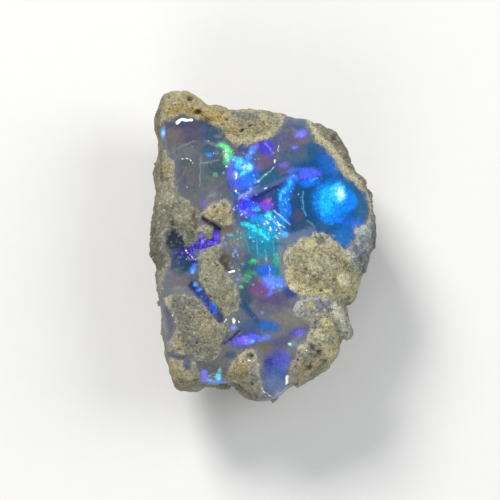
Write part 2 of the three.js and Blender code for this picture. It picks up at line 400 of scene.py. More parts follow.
CRUSTS = {
    "top rim": Crust((154, 146, 114), (
        (-12, 11.0), (-9.3, 11.2), (-8.9, 11.75), (-8.2, 11.9), (-7.9, 12.1), (-7.2, 12.35), (-6.3, 12.2),
        (-6.0, 12.0), (-5.4, 11.9), (-5.0, 11.8), (-4.6, 11.4), (-4.0, 11.1), (-3.6, 10.7), (-3.2, 10.1),
        (-2.8, 9.7), (-2.4, 9.35), (-1.8, 9.45), (-1.0, 9.5), (-0.4, 9.85), (0.5, 10.1), (1.0, 10.3),
        (1.3, 10.9), (1.6, 11.4), (1.9, 11.6), (2.2, 12.3), (2.3, 17), (-12, 17))),
    "right rim": Crust((124, 123, 105), (
        (3.9, 12.2), (4.1, 11.5), (4.4, 10.9), (4.8, 9.9), (5.2, 9.5), (5.8, 8.9), (6.3, 8.5), (6.8, 7.4),
        (7.2, 6.7), (7.8, 6.2), (8.3, 6.0), (8.8, 5.3), (9.3, 4.8), (9.5, 4.0), (9.6, 3.2), (9.7, 2.4),
        (13, 2.3), (13, 13), (3.9, 13))),
    "right shoulder": Crust((102, 113, 121), (
        (8.3, 1.9), (8.6, 1.65), (9.3, 2.3), (9.7, 2.5), (13, 2.4), (13, -3), (8.8, -3), (8.3, -2.2),
        (7.9, -1.6), (7.5, -1.0), (7.6, -0.3), (8.0, 0.2), (8.4, 0.9))),
    "nodule": Crust((154, 149, 118), (
        (1.8, -0.9), (2.2, -0.2), (2.9, 0.2), (3.4, 0.7), (4.2, 0.8), (4.5, 1.35), (5.3, 1.35), (6.0, 1.0),
        (6.3, 0.5), (7.0, 0.0), (7.7, -0.7), (8.0, -1.7), (8.6, -2.2), (9.2, -2.8), (9.2, -3.8),
        (8.4, -5.6), (6.5, -5.3), (5.0, -4.95), (3.6, -4.8), (3.2, -4.4), (2.4, -3.9), (2.0, -3.2),
        (2.1, -2.2), (1.75, -1.6))),
    "lower right": Crust((138, 136, 119), (
        (3.4, -4.9), (5, -4.8), (8.4, -5.2), (10, -6), (10, -16), (2.3, -16), (2.4, -13), (2.15, -12.6),
        (2.2, -11.9), (2.4, -11.0), (2.7, -10.6), (3.0, -10.0), (3.1, -9.4), (3.4, -9.1), (3.8, -8.9),
        (4.1, -8.2), (4.3, -7.6), (4.2, -7.2), (3.6, -6.8), (3.0, -6.4), (2.6, -5.9), (2.9, -5.3))),
    "lower middle": Crust((140, 134, 112), (
        (-0.8, -9.6), (-0.6, -10.3), (-0.3, -10.9), (-0.4, -11.6), (-0.2, -12.3), (-0.1, -13.0),
        (0.2, -13.8), (0.9, -14.5), (0.5, -17), (-3.2, -17), (-3.2, -13), (-3.3, -12.3), (-3.2, -11.6),
        (-2.9, -11.0), (-2.5, -10.5), (-2.2, -10.1), (-1.8, -9.7), (-1.3, -9.5))),
    "lower left plate": Crust((112, 113, 103), (
        (-8.9, -4.9), (-8.3, -4.6), (-7.4, -4.4), (-6.6, -4.6), (-6.0, -4.8), (-5.5, -5.1), (-5.1, -5.5),
        (-4.6, -6.2), (-4.2, -6.8), (-3.8, -7.2), (-3.2, -7.5), (-2.95, -7.9), (-3.2, -8.3), (-3.5, -8.7),
        (-3.7, -9.1), (-3.9, -9.6), (-4.0, -10.2), (-4.3, -10.65), (-5.2, -10.7), (-5.9, -10.6),
        (-6.3, -10.2), (-6.9, -9.9), (-7.3, -10.1), (-7.9, -10.0), (-8.5, -9.8), (-8.7, -9.3),
        (-8.2, -8.6), (-7.9, -8.1), (-7.85, -7.4), (-7.9, -6.8), (-8.2, -6.2), (-8.6, -5.6))),
    "lower left corner": Crust((137, 132, 107), (
        (-12, -10.2), (-8.7, -10.3), (-8.0, -10.5), (-7.2, -10.6), (-7.05, -11.2), (-6.5, -11.5),
        (-6.4, -10.6), (-6.0, -10.75), (-5.9, -11.3), (-5.7, -12.0), (-5.6, -12.6), (-5.5, -13.2),
        (-5.4, -16), (-12, -16))),
    "left plate": Crust((111, 111, 98), (
        (-12, 5.4), (-8.0, 6.0), (-7.6, 5.0), (-7.1, 4.5), (-6.5, 4.2), (-6.3, 3.7), (-5.9, 3.5),
        (-5.6, 3.1), (-5.5, 2.7), (-5.8, 2.0), (-5.9, 1.3), (-5.8, 0.8), (-6.0, 0.3), (-6.6, -0.05),
        (-7.0, -0.1), (-7.05, 0.5), (-7.3, 1.0), (-7.6, 1.1), (-7.9, 1.7), (-8.2, 1.75), (-8.6, 1.5),
        (-8.75, 1.0), (-8.7, 0.5), (-8.8, -0.1), (-8.5, -0.8), (-8.3, -1.6), (-8.7, -2.3), (-9.0, -3.2),
        (-9.0, -4.0), (-9.3, -4.8), (-12, -4.9))),
    "left strip": Crust((124, 118, 98), (
        (-12, 10), (-9.35, 9.8), (-9.2, 9.4), (-8.9, 9.0), (-8.6, 8.3), (-8.3, 8.15), (-8.0, 7.8),
        (-7.95, 7.0), (-8.1, 6.2), (-8.0, 5.8), (-12, 5))),
    "upper island": Crust((160, 150, 118), (
        (-5.7, 2.95), (-5.3, 3.3), (-5.0, 3.6), (-4.7, 4.0), (-4.3, 4.2), (-4.05, 3.95), (-3.75, 4.3),
        (-3.35, 4.35), (-3.0, 4.0), (-2.9, 3.3), (-2.95, 2.7), (-2.75, 2.4), (-2.75, 2.05), (-3.6, 1.95),
        (-4.1, 2.05), (-4.4, 2.3), (-4.9, 2.6), (-5.3, 2.75))),
    "small island": Crust((148, 142, 118), (
        (-5.85, 1.8), (-5.5, 1.95), (-5.0, 1.95), (-4.6, 1.7), (-4.45, 1.3), (-4.55, 0.8), (-4.8, 0.65),
        (-5.1, 0.8), (-5.4, 1.2), (-5.75, 1.4))),
    "long island": Crust((130, 128, 110), (
        (-5.6, -0.6), (-5.1, -0.3), (-4.6, 0.0), (-4.2, 0.25), (-3.85, 0.1), (-3.85, -0.6), (-3.9, -1.4),
        (-3.5, -2.0), (-3.1, -2.3), (-2.9, -2.9), (-2.6, -3.4), (-2.35, -4.2), (-2.1, -5.0),
        (-2.15, -5.7), (-2.5, -6.2), (-3.1, -6.4), (-3.4, -6.5), (-3.8, -5.9), (-4.3, -5.4),
        (-4.8, -4.8), (-5.2, -4.2), (-5.4, -3.7), (-5.8, -3.3), (-5.75, -2.8), (-5.6, -2.2), (-5.6, -1.4))),
}

# Stains and paler or darker places on the rock.
STAINS: tuple[Mark, ...] = (
    Streak(((-9.2, 14.6), (-9.5, 12.5), (-9.4, 11.0)), 0.35, (92, 88, 76), 0.7),
    Spot((-7.3, 13.8), (1.3, 0.7), 0, (150, 142, 108), 0.7),
    Streak(((-8.4, 12.6), (-7.0, 12.75), (-6.0, 12.6), (-5.0, 12.3), (-3.8, 12.0)), 0.42, (168, 144, 82),
           0.85),
    Spot((-4.8, 12.9), (0.6, 0.4), 0, (164, 154, 112), 0.7),
    Spot((-5.9, 12.6), (0.4, 0.3), 0, (104, 78, 44), 0.8),
    Spot((-5.0, 12.0), (0.3, 0.2), 0, (122, 92, 50), 0.8),
    Spot((-4.1, 11.7), (0.3, 0.2), 20, (124, 100, 60), 0.7),
    Spot((-7.3, 12.5), (0.5, 0.2), 0, (132, 104, 56), 0.7),
    Spot((-2.1, 11.5), (0.5, 0.3), 0, (112, 98, 70), 0.6),
    Spot((-3.3, 11.9), (0.24, 0.16), 20, (96, 76, 46), 0.65),
    Spot((-3.7, 11.35), (0.2, 0.14), 0, (104, 84, 50), 0.6),
    Streak(((-2.9, 11.1), (-2.3, 10.9), (-1.7, 10.9)), 0.1, (108, 94, 64), 0.5),
    Streak(((-1.5, 12.55), (-0.6, 12.5), (0.2, 12.6)), 0.1, (150, 150, 134), 0.6),
    Streak(((-4.2, 11.6), (-3.0, 11.0), (-2.2, 10.6)), 0.4, (172, 158, 108), 0.7),
    Streak(((-3.0, 10.2), (-2.2, 9.9), (-0.9, 10.0), (0.4, 10.6)), 0.38, (196, 187, 148), 0.75),
    Streak(((-2.6, 12.3), (-1.4, 12.1), (-0.4, 12.1), (0.5, 12.3)), 0.42, (112, 116, 108), 0.9),
    Spot((0.0, 12.1), (0.4, 0.3), 0, (176, 168, 124), 0.7),
    Streak(((-1.4, 11.5), (0.2, 11.4)), 0.14, (128, 122, 108), 0.6),
    Spot((1.2, 11.9), (0.7, 0.5), 0, (150, 147, 130), 0.7),
    Streak(((4.2, 11.6), (4.9, 10.3), (5.9, 9.5), (6.7, 8.4), (7.6, 7.1), (8.7, 5.9), (9.5, 4.6)), 0.3,
           (182, 174, 144), 0.85),
    Streak(((4.8, 11.5), (6.2, 10.6), (7.1, 9.2), (7.8, 7.9), (8.9, 6.5), (9.8, 4.8)), 0.4,
           (116, 113, 100), 0.7),
    Spot((6.5, 10.2), (0.4, 0.3), 0, (84, 80, 74), 0.6),
    Spot((-8.6, 7.2), (0.6, 0.75), 0, (150, 138, 98), 0.7),
    Spot((-9.5, 7.4), (0.3, 1.6), 0, (120, 116, 98), 0.6),
    Streak(((-9.2, 9.1), (-9.15, 8.0), (-9.2, 6.6), (-9.1, 5.6)), 0.11, (70, 67, 56), 0.6),
    Streak(((-9.1, 6.5), (-8.6, 6.2), (-8.3, 5.7)), 0.09, (80, 74, 60), 0.55),
    Spot((-9.0, 9.5), (0.25, 0.4), 0, (96, 90, 70), 0.6),
    Spot((-8.7, 4.4), (0.9, 0.8), 20, (152, 146, 120), 0.6),
    Spot((-8.9, 2.2), (0.7, 0.9), 0, (118, 115, 100), 0.6),
    Spot((-7.2, 3.0), (0.9, 0.9), 0, (146, 142, 120), 0.6),
    Spot((-6.1, 2.4), (0.35, 1.0), 0, (96, 84, 66), 0.8),
    Spot((-6.1, 3.3), (0.5, 0.3), -30, (112, 102, 84), 0.6),
    Spot((-3.1, 3.2), (0.3, 0.8), 0, (176, 162, 116), 0.6),
    Spot((-4.7, 3.0), (0.5, 0.4), 0, (172, 158, 112), 0.6),
    Spot((-9.1, -0.5), (0.6, 1.4), 0, (92, 92, 85), 0.85),
    Spot((3.9, 0.2), (0.9, 0.5), 0, (184, 175, 136), 0.8),
    Spot((2.3, -1.1), (0.5, 0.6), 0, (150, 144, 124), 0.7),
    Spot((2.8, -2.6), (0.6, 0.6), 0, (184, 171, 126), 0.8),
    Streak(((2.5, -3.5), (3.6, -4.1), (5.4, -4.3)), 0.42, (186, 176, 134), 0.75),
    Spot((7.2, -3.1), (0.7, 0.6), 0, (200, 192, 154), 0.9),
    Spot((8.5, -3.4), (0.5, 0.8), 0, (170, 164, 132), 0.7),
    Spot((5.0, -1.9), (1.6, 1.0), 0, (152, 150, 128), 0.7),
    Spot((6.9, -1.2), (0.7, 0.6), 0, (146, 134, 112), 0.6),
    Streak(((6.2, -0.9), (7.0, -1.5), (8.1, -2.1)), 0.17, (112, 102, 96), 0.65),
    Streak(((4.3, -0.9), (4.6, -1.4), (5.3, -1.8)), 0.15, (122, 120, 96), 0.55),
    Streak(((2.9, -1.6), (3.3, -2.0), (3.1, -2.2)), 0.13, (118, 110, 92), 0.5),
    Streak(((6.2, -2.6), (6.6, -3.4), (6.3, -4.1)), 0.14, (124, 116, 90), 0.5),
    Spot((5.2, 0.6), (0.45, 0.35), 0, (92, 98, 104), 0.75),
    Spot((5.9, 0.7), (0.4, 0.3), -40, (182, 178, 158), 0.8),
    Streak(((4.3, 1.0), (5.0, 1.3), (5.8, 1.15)), 0.2, (190, 188, 172), 0.8),
    Streak(((6.2, 0.6), (7.0, 0.0), (7.7, -0.7)), 0.2, (168, 168, 158), 0.6),
    Streak(((1.9, -1.2), (2.4, -0.3), (3.1, 0.2)), 0.16, (176, 174, 162), 0.5),
    Spot((7.4, -4.6), (0.8, 0.5), 0, (176, 167, 128), 0.6),
    Spot((4.4, -4.85), (0.9, 0.25), -6, (126, 128, 140), 0.75),
    Spot((5.4, -5.6), (1.0, 0.6), 0, (106, 112, 124), 0.85),
    Spot((4.25, -5.6), (0.4, 0.3), 0, (170, 160, 116), 0.8),
    Spot((3.4, -5.9), (0.9, 0.5), 0, (124, 124, 124), 0.8),
    Spot((2.8, -6.0), (0.5, 0.9), 0, (122, 122, 130), 0.7),
    Spot((6.6, -6.2), (0.5, 0.8), 0, (182, 182, 160), 0.8),
    Spot((7.3, -7.6), (0.5, 1.0), 10, (170, 174, 160), 0.85),
    Spot((5.9, -7.4), (0.5, 0.8), 20, (172, 160, 116), 0.7),
    Spot((4.6, -7.4), (0.5, 0.35), -30, (86, 92, 104), 0.8),
    Spot((4.8, -5.9), (0.35, 0.25), 0, (92, 98, 112), 0.7),
    Spot((3.15, -5.4), (0.4, 0.3), 20, (180, 182, 176), 0.7),
    Spot((6.4, -5.6), (0.4, 0.35), 0, (176, 178, 168), 0.7),
    Streak(((3.0, -4.9), (3.7, -5.0)), 0.1, (96, 100, 120), 0.7),
    Spot((4.3, -6.8), (0.4, 0.3), -30, (112, 116, 124), 0.6),
    Spot((5.5, -7.0), (0.35, 0.3), 0, (182, 172, 134), 0.7),
    Spot((5.0, -8.3), (0.4, 0.3), 0, (184, 175, 142), 0.7),
    Spot((4.2, -8.9), (0.35, 0.25), 20, (188, 182, 152), 0.6),
    Spot((6.0, -10.5), (0.4, 0.3), 0, (178, 169, 130), 0.6),
    Spot((3.6, -11.7), (0.4, 0.3), 0, (174, 164, 134), 0.6),
    Spot((3.1, -10.6), (0.3, 0.3), 0, (132, 124, 126), 0.6),
    Streak(((6.0, -5.9), (6.3, -6.8), (6.6, -7.7)), 0.12, (118, 120, 118), 0.6),
    Streak(((5.3, -6.1), (4.9, -6.9)), 0.1, (108, 108, 108), 0.55),
    Spot((5.2, -8.1), (0.6, 0.8), 0, (150, 147, 126), 0.6),
    Spot((6.0, -9.8), (0.8, 0.9), 0, (178, 168, 126), 0.75),
    Spot((4.8, -10.8), (0.5, 0.4), 0, (166, 154, 108), 0.8),
    Spot((3.5, -9.4), (0.4, 0.25), 30, (186, 180, 146), 0.8),
    Spot((3.4, -11.2), (0.9, 0.7), 0, (140, 130, 110), 0.7),
    Spot((4.35, -9.3), (0.4, 0.3), 0, (96, 98, 104), 0.8),
    Spot((5.0, -9.9), (0.3, 0.25), 0, (84, 68, 52), 0.8),
    Spot((5.5, -10.6), (0.3, 0.25), 0, (88, 70, 52), 0.8),
    Spot((4.1, -11.1), (0.3, 0.25), 0, (92, 76, 60), 0.8),
    Spot((-1.0, -10.1), (0.4, 0.3), 0, (84, 74, 60), 0.8),
    Spot((-1.8, -11.9), (0.4, 0.3), 0, (120, 104, 76), 0.7),
    Spot((3.2, -12.4), (0.9, 0.5), 20, (158, 150, 124), 0.6),
    Spot((9.1, 1.0), (0.6, 1.0), -15, (124, 133, 132), 0.8),
    Spot((8.6, -0.3), (0.6, 0.4), 30, (112, 120, 130), 0.7),
    Spot((8.9, 1.55), (0.5, 0.35), 0, (158, 164, 162), 0.7),
    Spot((9.0, 0.55), (0.4, 0.25), 0, (116, 125, 136), 0.6),
    Spot((9.4, -0.1), (0.35, 0.3), 0, (174, 177, 168), 0.7),
    Spot((9.5, 1.1), (0.2, 0.3), 0, (164, 168, 160), 0.7),
    Spot((8.5, 0.2), (0.2, 0.15), 0, (178, 184, 186), 0.7),
    Spot((8.2, -0.9), (0.35, 0.25), 0, (152, 156, 150), 0.6),
    Spot((9.1, -1.2), (0.3, 0.4), 0, (140, 144, 140), 0.55),
    Spot((8.8, -1.8), (0.8, 0.8), 0, (104, 110, 114), 0.9),
    Spot((9.6, -0.4), (0.4, 0.6), 0, (132, 134, 128), 0.7),
    Spot((-2.2, -11.2), (0.8, 0.6), 0, (170, 156, 108), 0.7),
    Spot((-2.5, -12.6), (0.6, 0.5), 0, (162, 156, 132), 0.7),
    Spot((-0.7, -12.0), (0.5, 0.9), 0, (126, 124, 128), 0.8),
    Spot((-0.5, -14.0), (1.0, 0.4), 20, (122, 122, 126), 0.7),
    Spot((-1.0, -13.2), (0.6, 0.4), 0, (146, 144, 134), 0.6),
    Spot((-7.6, -11.5), (0.7, 0.8), 0, (166, 156, 122), 0.7),
    Spot((-6.6, -12.0), (0.6, 0.4), 0, (176, 168, 138), 0.7),
    Spot((-8.5, -5.1), (0.4, 0.35), -30, (176, 170, 138), 0.8),
    Spot((-5.2, -7.5), (0.9, 1.6), 30, (146, 139, 110), 0.6),
    Spot((-7.6, -9.0), (0.5, 0.5), -30, (164, 154, 118), 0.6),
    Spot((-5.0, -9.6), (1.0, 0.8), 0, (138, 136, 120), 0.5),
    Spot((-4.6, -2.2), (0.7, 1.6), 8, (150, 147, 126), 0.6),
    Spot((-3.6, -5.8), (0.7, 0.4), -30, (146, 136, 106), 0.6),
)

# Holes and dents in the rock.
PITS = (
    Pit((-6.6, 13.9), 0.3, 0.45),
    Pit((-8.6, 14.1), 0.2, 0.2),
    Pit((-5.85, 12.6), 0.28, 0.3),
    Pit((-2.0, 10.8), 0.16, 0.16),
    Pit((-3.3, 11.9), 0.14, 0.14),
    Pit((-3.7, 11.35), 0.12, 0.12),
    Pit((-2.6, 10.45), 0.1, 0.1),
    Pit((-0.3, 11.0), 0.11, 0.1),
    Pit((0.7, 11.4), 0.1, 0.1),
    Pit((-7.0, 12.7), 0.12, 0.1),
    Pit((-9.1, 6.9), 0.12, 0.14),
    Pit((7.0, -1.5), 0.12, 0.12),
    Pit((3.2, -2.0), 0.1, 0.1),
    Pit((4.8, -5.9), 0.14, 0.14),
    Pit((4.7, -7.5), 0.14, 0.16),
    Pit((-0.9, 10.2), 0.12, 0.14),
    Pit((6.5, 10.2), 0.28, 0.18),
    Pit((-3.45, 3.85), 0.18, 0.25),
    Pit((-4.4, 3.65), 0.13, 0.2),
    Pit((-4.15, 3.1), 0.13, 0.2),
    Pit((-4.5, 2.65), 0.12, 0.16),
    Pit((-9.3, 2.4), 0.14, 0.16),
    Pit((-9.65, -0.8), 0.13, 0.15),
    Pit((-0.95, -10.1), 0.14, 0.25),
    Pit((-1.0, -12.8), 0.16, 0.3),
    Pit((-1.7, -13.3), 0.14, 0.3),
    Pit((-0.7, -14.0), 0.22, 0.3),
    Pit((4.4, -0.95), 0.1, 0.14),
    Pit((6.4, -4.3), 0.14, 0.14),
    Pit((4.4, -9.3), 0.3, 0.22),
    Pit((5.0, -9.8), 0.22, 0.2),
    Pit((5.5, -10.6), 0.18, 0.16),
    Pit((4.1, -11.1), 0.14, 0.18),
    Pit((3.7, -6.7), 0.2, 0.14),
    Pit((-7.6, -6.75), 0.12, 0.15),
    Pit((-7.4, -8.3), 0.16, 0.14),
    Pit((-7.4, -9.6), 0.16, 0.16),
    Pit((-7.3, -11.2), 0.12, 0.14),
)

# The colour of the opal's own body, from large hazes to small ones.
HAZES: tuple[Mark, ...] = (
    Spot((-5.5, 7.3), (4.4, 5.2), 0, (95, 101, 107), 1.0, 0.3),
    Spot((5.4, 4.4), (4.3, 5.6), 0, (16, 78, 132), 1.0, 0.35),
    Spot((0.3, 4.6), (3.4, 3.6), 0, (34, 70, 128), 0.9, 0.5),
    Streak(((-8.0, 11.3), (-6.0, 11.5), (-4.6, 11.3)), 0.35, (54, 70, 92), 0.9),
    Spot((-8.7, 11.3), (0.5, 0.4), 0, (76, 68, 100), 0.8),
    Spot((-8.0, 10.2), (1.1, 0.9), 0, (106, 97, 98), 0.8),
    Spot((-6.4, 10.6), (0.9, 1.1), 0, (84, 77, 104), 0.8),
    Spot((-4.6, 10.6), (1.0, 1.1), 0, (50, 82, 106), 0.9),
    Spot((-5.45, 10.7), (0.22, 0.9), -8, (80, 82, 128), 0.7),
    Spot((-4.1, 10.3), (0.3, 0.2), 0, (120, 130, 128), 0.6),
    Spot((-4.8, 8.9), (0.9, 0.8), 0, (56, 86, 114), 0.85),
    Streak(((-5.2, 9.9), (-4.2, 9.4)), 0.16, (138, 132, 142), 0.6),
    Spot((-7.2, 8.9), (1.2, 0.7), 0, (101, 107, 114), 0.8),
    Spot((-7.0, 7.8), (0.6, 0.28), 0, (62, 92, 92), 0.8),
    Spot((-6.6, 6.6), (1.1, 1.3), 0, (97, 96, 98), 0.8),
    Spot((-7.4, 6.2), (0.5, 1.1), 0, (86, 84, 102), 0.7),
    Spot((-5.3, 7.0), (0.7, 1.3), 0, (80, 96, 102), 0.7),
    Spot((-4.0, 7.3), (0.9, 0.9), 0, (54, 86, 98), 0.85),
    Spot((-4.6, 6.2), (0.5, 0.18), -20, (122, 122, 92), 0.5),
    Spot((-4.6, 5.5), (0.5, 0.4), 0, (100, 112, 122), 0.6),
    Spot((-3.8, 5.2), (1.4, 0.9), 0, (93, 95, 104), 0.8),
    Spot((-3.2, 5.4), (0.25, 0.12), 0, (156, 86, 96), 0.6),
    Spot((-5.4, 4.05), (0.3, 0.4), 0, (110, 84, 170), 0.8),
    Spot((-2.6, 4.6), (1.2, 0.5), 15, (76, 96, 116), 0.8),
    Spot((-1.8, 6.3), (1.3, 1.9), 0, (36, 62, 136), 0.9),
    Spot((-1.8, 9.1), (0.55, 0.25), 0, (44, 72, 140), 0.75),
    Spot((0.3, 9.3), (0.8, 0.8), 0, (60, 52, 150), 0.95),
    Spot((0.15, 8.0), (0.65, 0.6), 0, (108, 85, 114), 0.9),
    Spot((-0.4, 7.4), (0.5, 0.4), 0, (102, 98, 128), 0.7),
    Spot((0.3, 6.5), (1.2, 0.6), 15, (44, 96, 118), 0.85),
    Spot((1.6, 10.1), (0.8, 0.6), 20, (70, 76, 128), 0.9),
    Spot((2.6, 11.6), (1.1, 0.5), 0, (78, 86, 118), 0.9),
    Spot((3.4, 11.2), (0.7, 0.4), 0, (58, 88, 122), 0.8),
    Spot((2.4, 9.8), (1.1, 0.8), 0, (96, 94, 122), 0.85),
    Spot((3.7, 9.85), (0.6, 0.26), 15, (122, 98, 104), 0.7),
    Spot((3.2, 8.6), (1.3, 0.7), 0, (78, 98, 122), 0.8),
    Spot((4.6, 9.1), (0.5, 1.0), -20, (34, 86, 126), 0.85),
    Spot((1.9, 7.4), (0.8, 0.5), 0, (90, 90, 128), 0.8),
    Spot((2.0, 6.9), (0.5, 0.14), 30, (104, 92, 108), 0.6),
    Spot((5.9, 7.6), (1.4, 0.9), -50, (20, 84, 150), 0.8),
    Spot((5.4, 5.7), (0.5, 1.0), -35, (14, 82, 130), 0.7),
    Spot((7.8, 5.6), (0.9, 0.5), -45, (22, 92, 136), 0.8),
    Spot((8.8, 3.7), (0.7, 1.3), 0, (24, 92, 130), 0.8),
    Spot((7.9, 1.9), (1.3, 0.7), 0, (20, 82, 152), 0.8),
    Spot((7.2, 0.8), (0.9, 0.9), 0, (24, 92, 146), 0.8),
    Spot((5.1, 2.0), (1.2, 0.45), 0, (30, 84, 128), 0.8),
    Spot((3.6, 1.9), (0.9, 0.5), 0, (50, 78, 108), 0.85),
    Spot((3.9, 4.5), (0.9, 1.3), 0, (18, 74, 118), 0.8),
    Spot((2.8, 4.2), (0.35, 1.3), 0, (38, 72, 112), 0.8),
    Spot((3.2, 2.8), (0.5, 0.55), 0, (84, 80, 90), 0.6),
    Spot((-1.0, 4.0), (1.3, 0.9), 0, (40, 40, 136), 0.9),
    Spot((-0.1, 1.3), (1.9, 1.7), 0, (26, 108, 140), 0.95),
    Spot((0.1, 2.2), (0.45, 0.3), 0, (74, 130, 138), 0.8),
    Spot((-2.2, 0.9), (0.7, 0.9), 0, (100, 126, 130), 0.8),
    Spot((-2.7, 0.4), (0.45, 0.32), 0, (122, 128, 110), 0.7),
    Spot((-3.2, 1.6), (0.7, 0.35), 0, (108, 94, 70), 0.85),
    Spot((-2.4, -1.2), (0.7, 0.9), 0, (92, 95, 107), 0.85),
    Spot((-3.4, -1.2), (0.4, 0.8), 12, (92, 82, 70), 0.9),
    Spot((0.2, -0.3), (1.5, 1.0), 0, (30, 108, 136), 0.85),
    Spot((0.2, -2.3), (0.9, 0.6), 0, (30, 84, 166), 0.95),
    Spot((1.25, -1.9), (0.4, 1.3), 0, (14, 116, 118), 0.85),
    Spot((-1.2, -2.2), (0.7, 1.3), 0, (34, 88, 100), 0.85),
    Spot((-1.6, -4.6), (0.6, 1.1), 0, (42, 76, 98), 0.9),
    Spot((-0.4, -3.9), (1.0, 0.6), 0, (104, 70, 120), 0.9),
    Spot((0.6, -5.0), (1.4, 0.8), 0, (88, 76, 114), 0.9),
    Spot((0.2, -6.1), (1.0, 0.9), 0, (98, 97, 114), 0.9),
    Spot((2.4, -4.3), (0.7, 0.5), -35, (32, 56, 124), 0.95),
    Streak(((-1.8, -5.4), (-0.9, -6.6), (-0.3, -7.3)), 0.3, (34, 72, 116), 0.9),
    Spot((0.4, -7.4), (1.0, 0.6), 0, (40, 88, 146), 0.9),
    Spot((-1.2, -7.5), (0.8, 0.6), 0, (58, 86, 126), 0.85),
    Spot((2.5, -6.8), (1.7, 0.6), -4, (119, 115, 109), 0.95),
    Spot((1.6, -9.0), (1.1, 0.6), 15, (88, 85, 114), 0.9),
    Spot((3.0, -8.0), (0.8, 0.4), 15, (82, 75, 146), 0.85),
    Spot((-0.4, -9.4), (1.1, 0.35), 15, (104, 99, 84), 0.8),
    Spot((0.2, -9.8), (0.6, 0.4), 0, (106, 99, 98), 0.7),
    Spot((1.3, -10.6), (1.0, 0.9), 0, (70, 74, 148), 0.9),
    Spot((0.5, -10.9), (0.4, 0.6), 0, (50, 48, 112), 0.85),
    Spot((1.1, -11.8), (1.1, 0.7), 0, (72, 90, 146), 0.9),
    Spot((1.0, -12.9), (1.2, 0.8), 0, (104, 120, 152), 0.9),
    Spot((1.5, -13.8), (1.0, 0.4), 30, (130, 136, 150), 0.9),
    Spot((-7.8, 0.6), (1.0, 1.1), 0, (38, 46, 62), 1.0, 0.35),
    Spot((-7.4, -1.3), (1.15, 1.1), 0, (42, 56, 94), 0.95),
    Spot((-7.0, -1.9), (0.8, 0.5), 0, (40, 64, 88), 0.9),
    Streak(((-8.0, -2.2), (-7.2, -2.0)), 0.08, (54, 110, 92), 0.7),
    Spot((-7.4, -3.5), (1.2, 0.7), 0, (104, 100, 103), 0.9),
    Spot((-8.3, -7.0), (0.6, 1.7), 0, (90, 88, 103), 1.0),
    Spot((-8.9, -9.2), (0.5, 1.2), 0, (104, 100, 106), 0.9),
    Spot((-6.8, -10.9), (0.4, 0.5), 0, (92, 94, 116), 1.0),
    Streak(((-8.5, -10.2), (-7.2, -10.4)), 0.1, (84, 76, 96), 0.9),
    Spot((-4.6, -11.7), (1.5, 1.2), 0, (106, 104, 106), 1.0),
    Spot((-3.2, -9.9), (1.1, 0.8), 0, (106, 103, 104), 0.8),
    Spot((-2.9, -10.1), (0.6, 0.3), 0, (62, 78, 106), 0.8),
    Spot((-1.6, -8.6), (1.5, 0.7), 10, (68, 70, 140), 0.9),
    Streak(((-1.7, 4.5), (-0.7, 5.05), (0.9, 5.85), (2.8, 6.55)), 0.22, (98, 118, 156), 0.5),
    Streak(((-1.0, 4.4), (-0.1, 4.85), (0.7, 5.3), (1.4, 5.65)), 0.1, (40, 36, 84), 0.8),
    Streak(((-6.4, -3.6), (-5.6, -4.4), (-4.7, -5.4), (-3.8, -6.8)), 0.33, (36, 42, 92), 0.95),
    Streak(((-7.1, -0.5), (-5.8, 0.1), (-4.4, 0.35)), 0.42, (40, 28, 104), 0.95),
    Streak(((-6.9, -0.6), (-6.3, -1.5)), 0.25, (46, 34, 112), 0.9),
    Streak(((-4.2, 1.5), (-4.3, 0.5)), 0.3, (50, 30, 116), 0.95),
    Streak(((-5.3, 2.6), (-4.7, 2.1), (-4.0, 1.6)), 0.18, (40, 34, 60), 0.95),
    Streak(((-3.4, -1.6), (-3.0, -2.2)), 0.12, (60, 50, 44), 0.8),
    Streak(((-2.1, -7.9), (-2.8, -8.5), (-3.5, -9.0)), 0.13, (42, 32, 92), 0.95),
    # Pale hairlines along fine cracks in the glass, their paleness a painted reflection of the light.
    Streak(((-8.2, 8.8), (-7.6, 9.3), (-6.9, 9.6), (-6.2, 9.9)), 0.07, (150, 154, 162), 0.45),
    Streak(((-5.65, 8.6), (-5.68, 7.0), (-5.75, 5.6)), 0.065, (142, 154, 156), 0.5),
    Streak(((-5.7, 7.7), (-4.9, 7.85), (-4.0, 8.1)), 0.07, (156, 152, 156), 0.5),
    Streak(((-7.9, 5.9), (-7.3, 6.5), (-7.0, 7.3)), 0.06, (134, 136, 142), 0.35),
    Streak(((2.1, 11.8), (2.9, 10.9)), 0.06, (120, 118, 152), 0.5),
    Streak(((0.1, 9.7), (1.0, 8.7)), 0.06, (150, 152, 206), 0.65),
    Streak(((-0.7, 5.8), (0.0, 6.5), (0.75, 7.15)), 0.06, (140, 176, 186), 0.6),
    Streak(((3.6, 5.1), (3.6, 4.3), (3.7, 3.4), (3.9, 2.9)), 0.07, (96, 170, 206), 0.6),
    Streak(((4.0, 2.4), (4.6, 1.8)), 0.07, (96, 160, 160), 0.6),
    Streak(((0.9, 3.4), (1.9, 2.5), (2.4, 2.0)), 0.06, (160, 214, 232), 0.6),
    Streak(((0.5, 2.9), (1.2, 2.1), (1.6, 1.5)), 0.06, (170, 224, 236), 0.6),
    Streak(((0.2, -0.4), (0.35, -1.5)), 0.06, (150, 196, 210), 0.5),
    Streak(((0.55, -1.9), (0.6, -2.8)), 0.06, (140, 180, 220), 0.5),
    Streak(((-0.55, 0.6), (-0.45, -0.8)), 0.06, (120, 178, 188), 0.4),
    Streak(((0.95, 0.5), (1.0, -0.9)), 0.06, (110, 172, 184), 0.4),
    Streak(((-2.7, -0.9), (-2.2, 0.3)), 0.06, (134, 142, 158), 0.4),
    Streak(((-1.7, 0.9), (-1.2, -0.6)), 0.06, (122, 158, 168), 0.4),
    Streak(((1.7, 0.9), (2.3, 0.6), (3.2, 0.9), (4.3, 1.2)), 0.55, (108, 124, 148), 0.65),
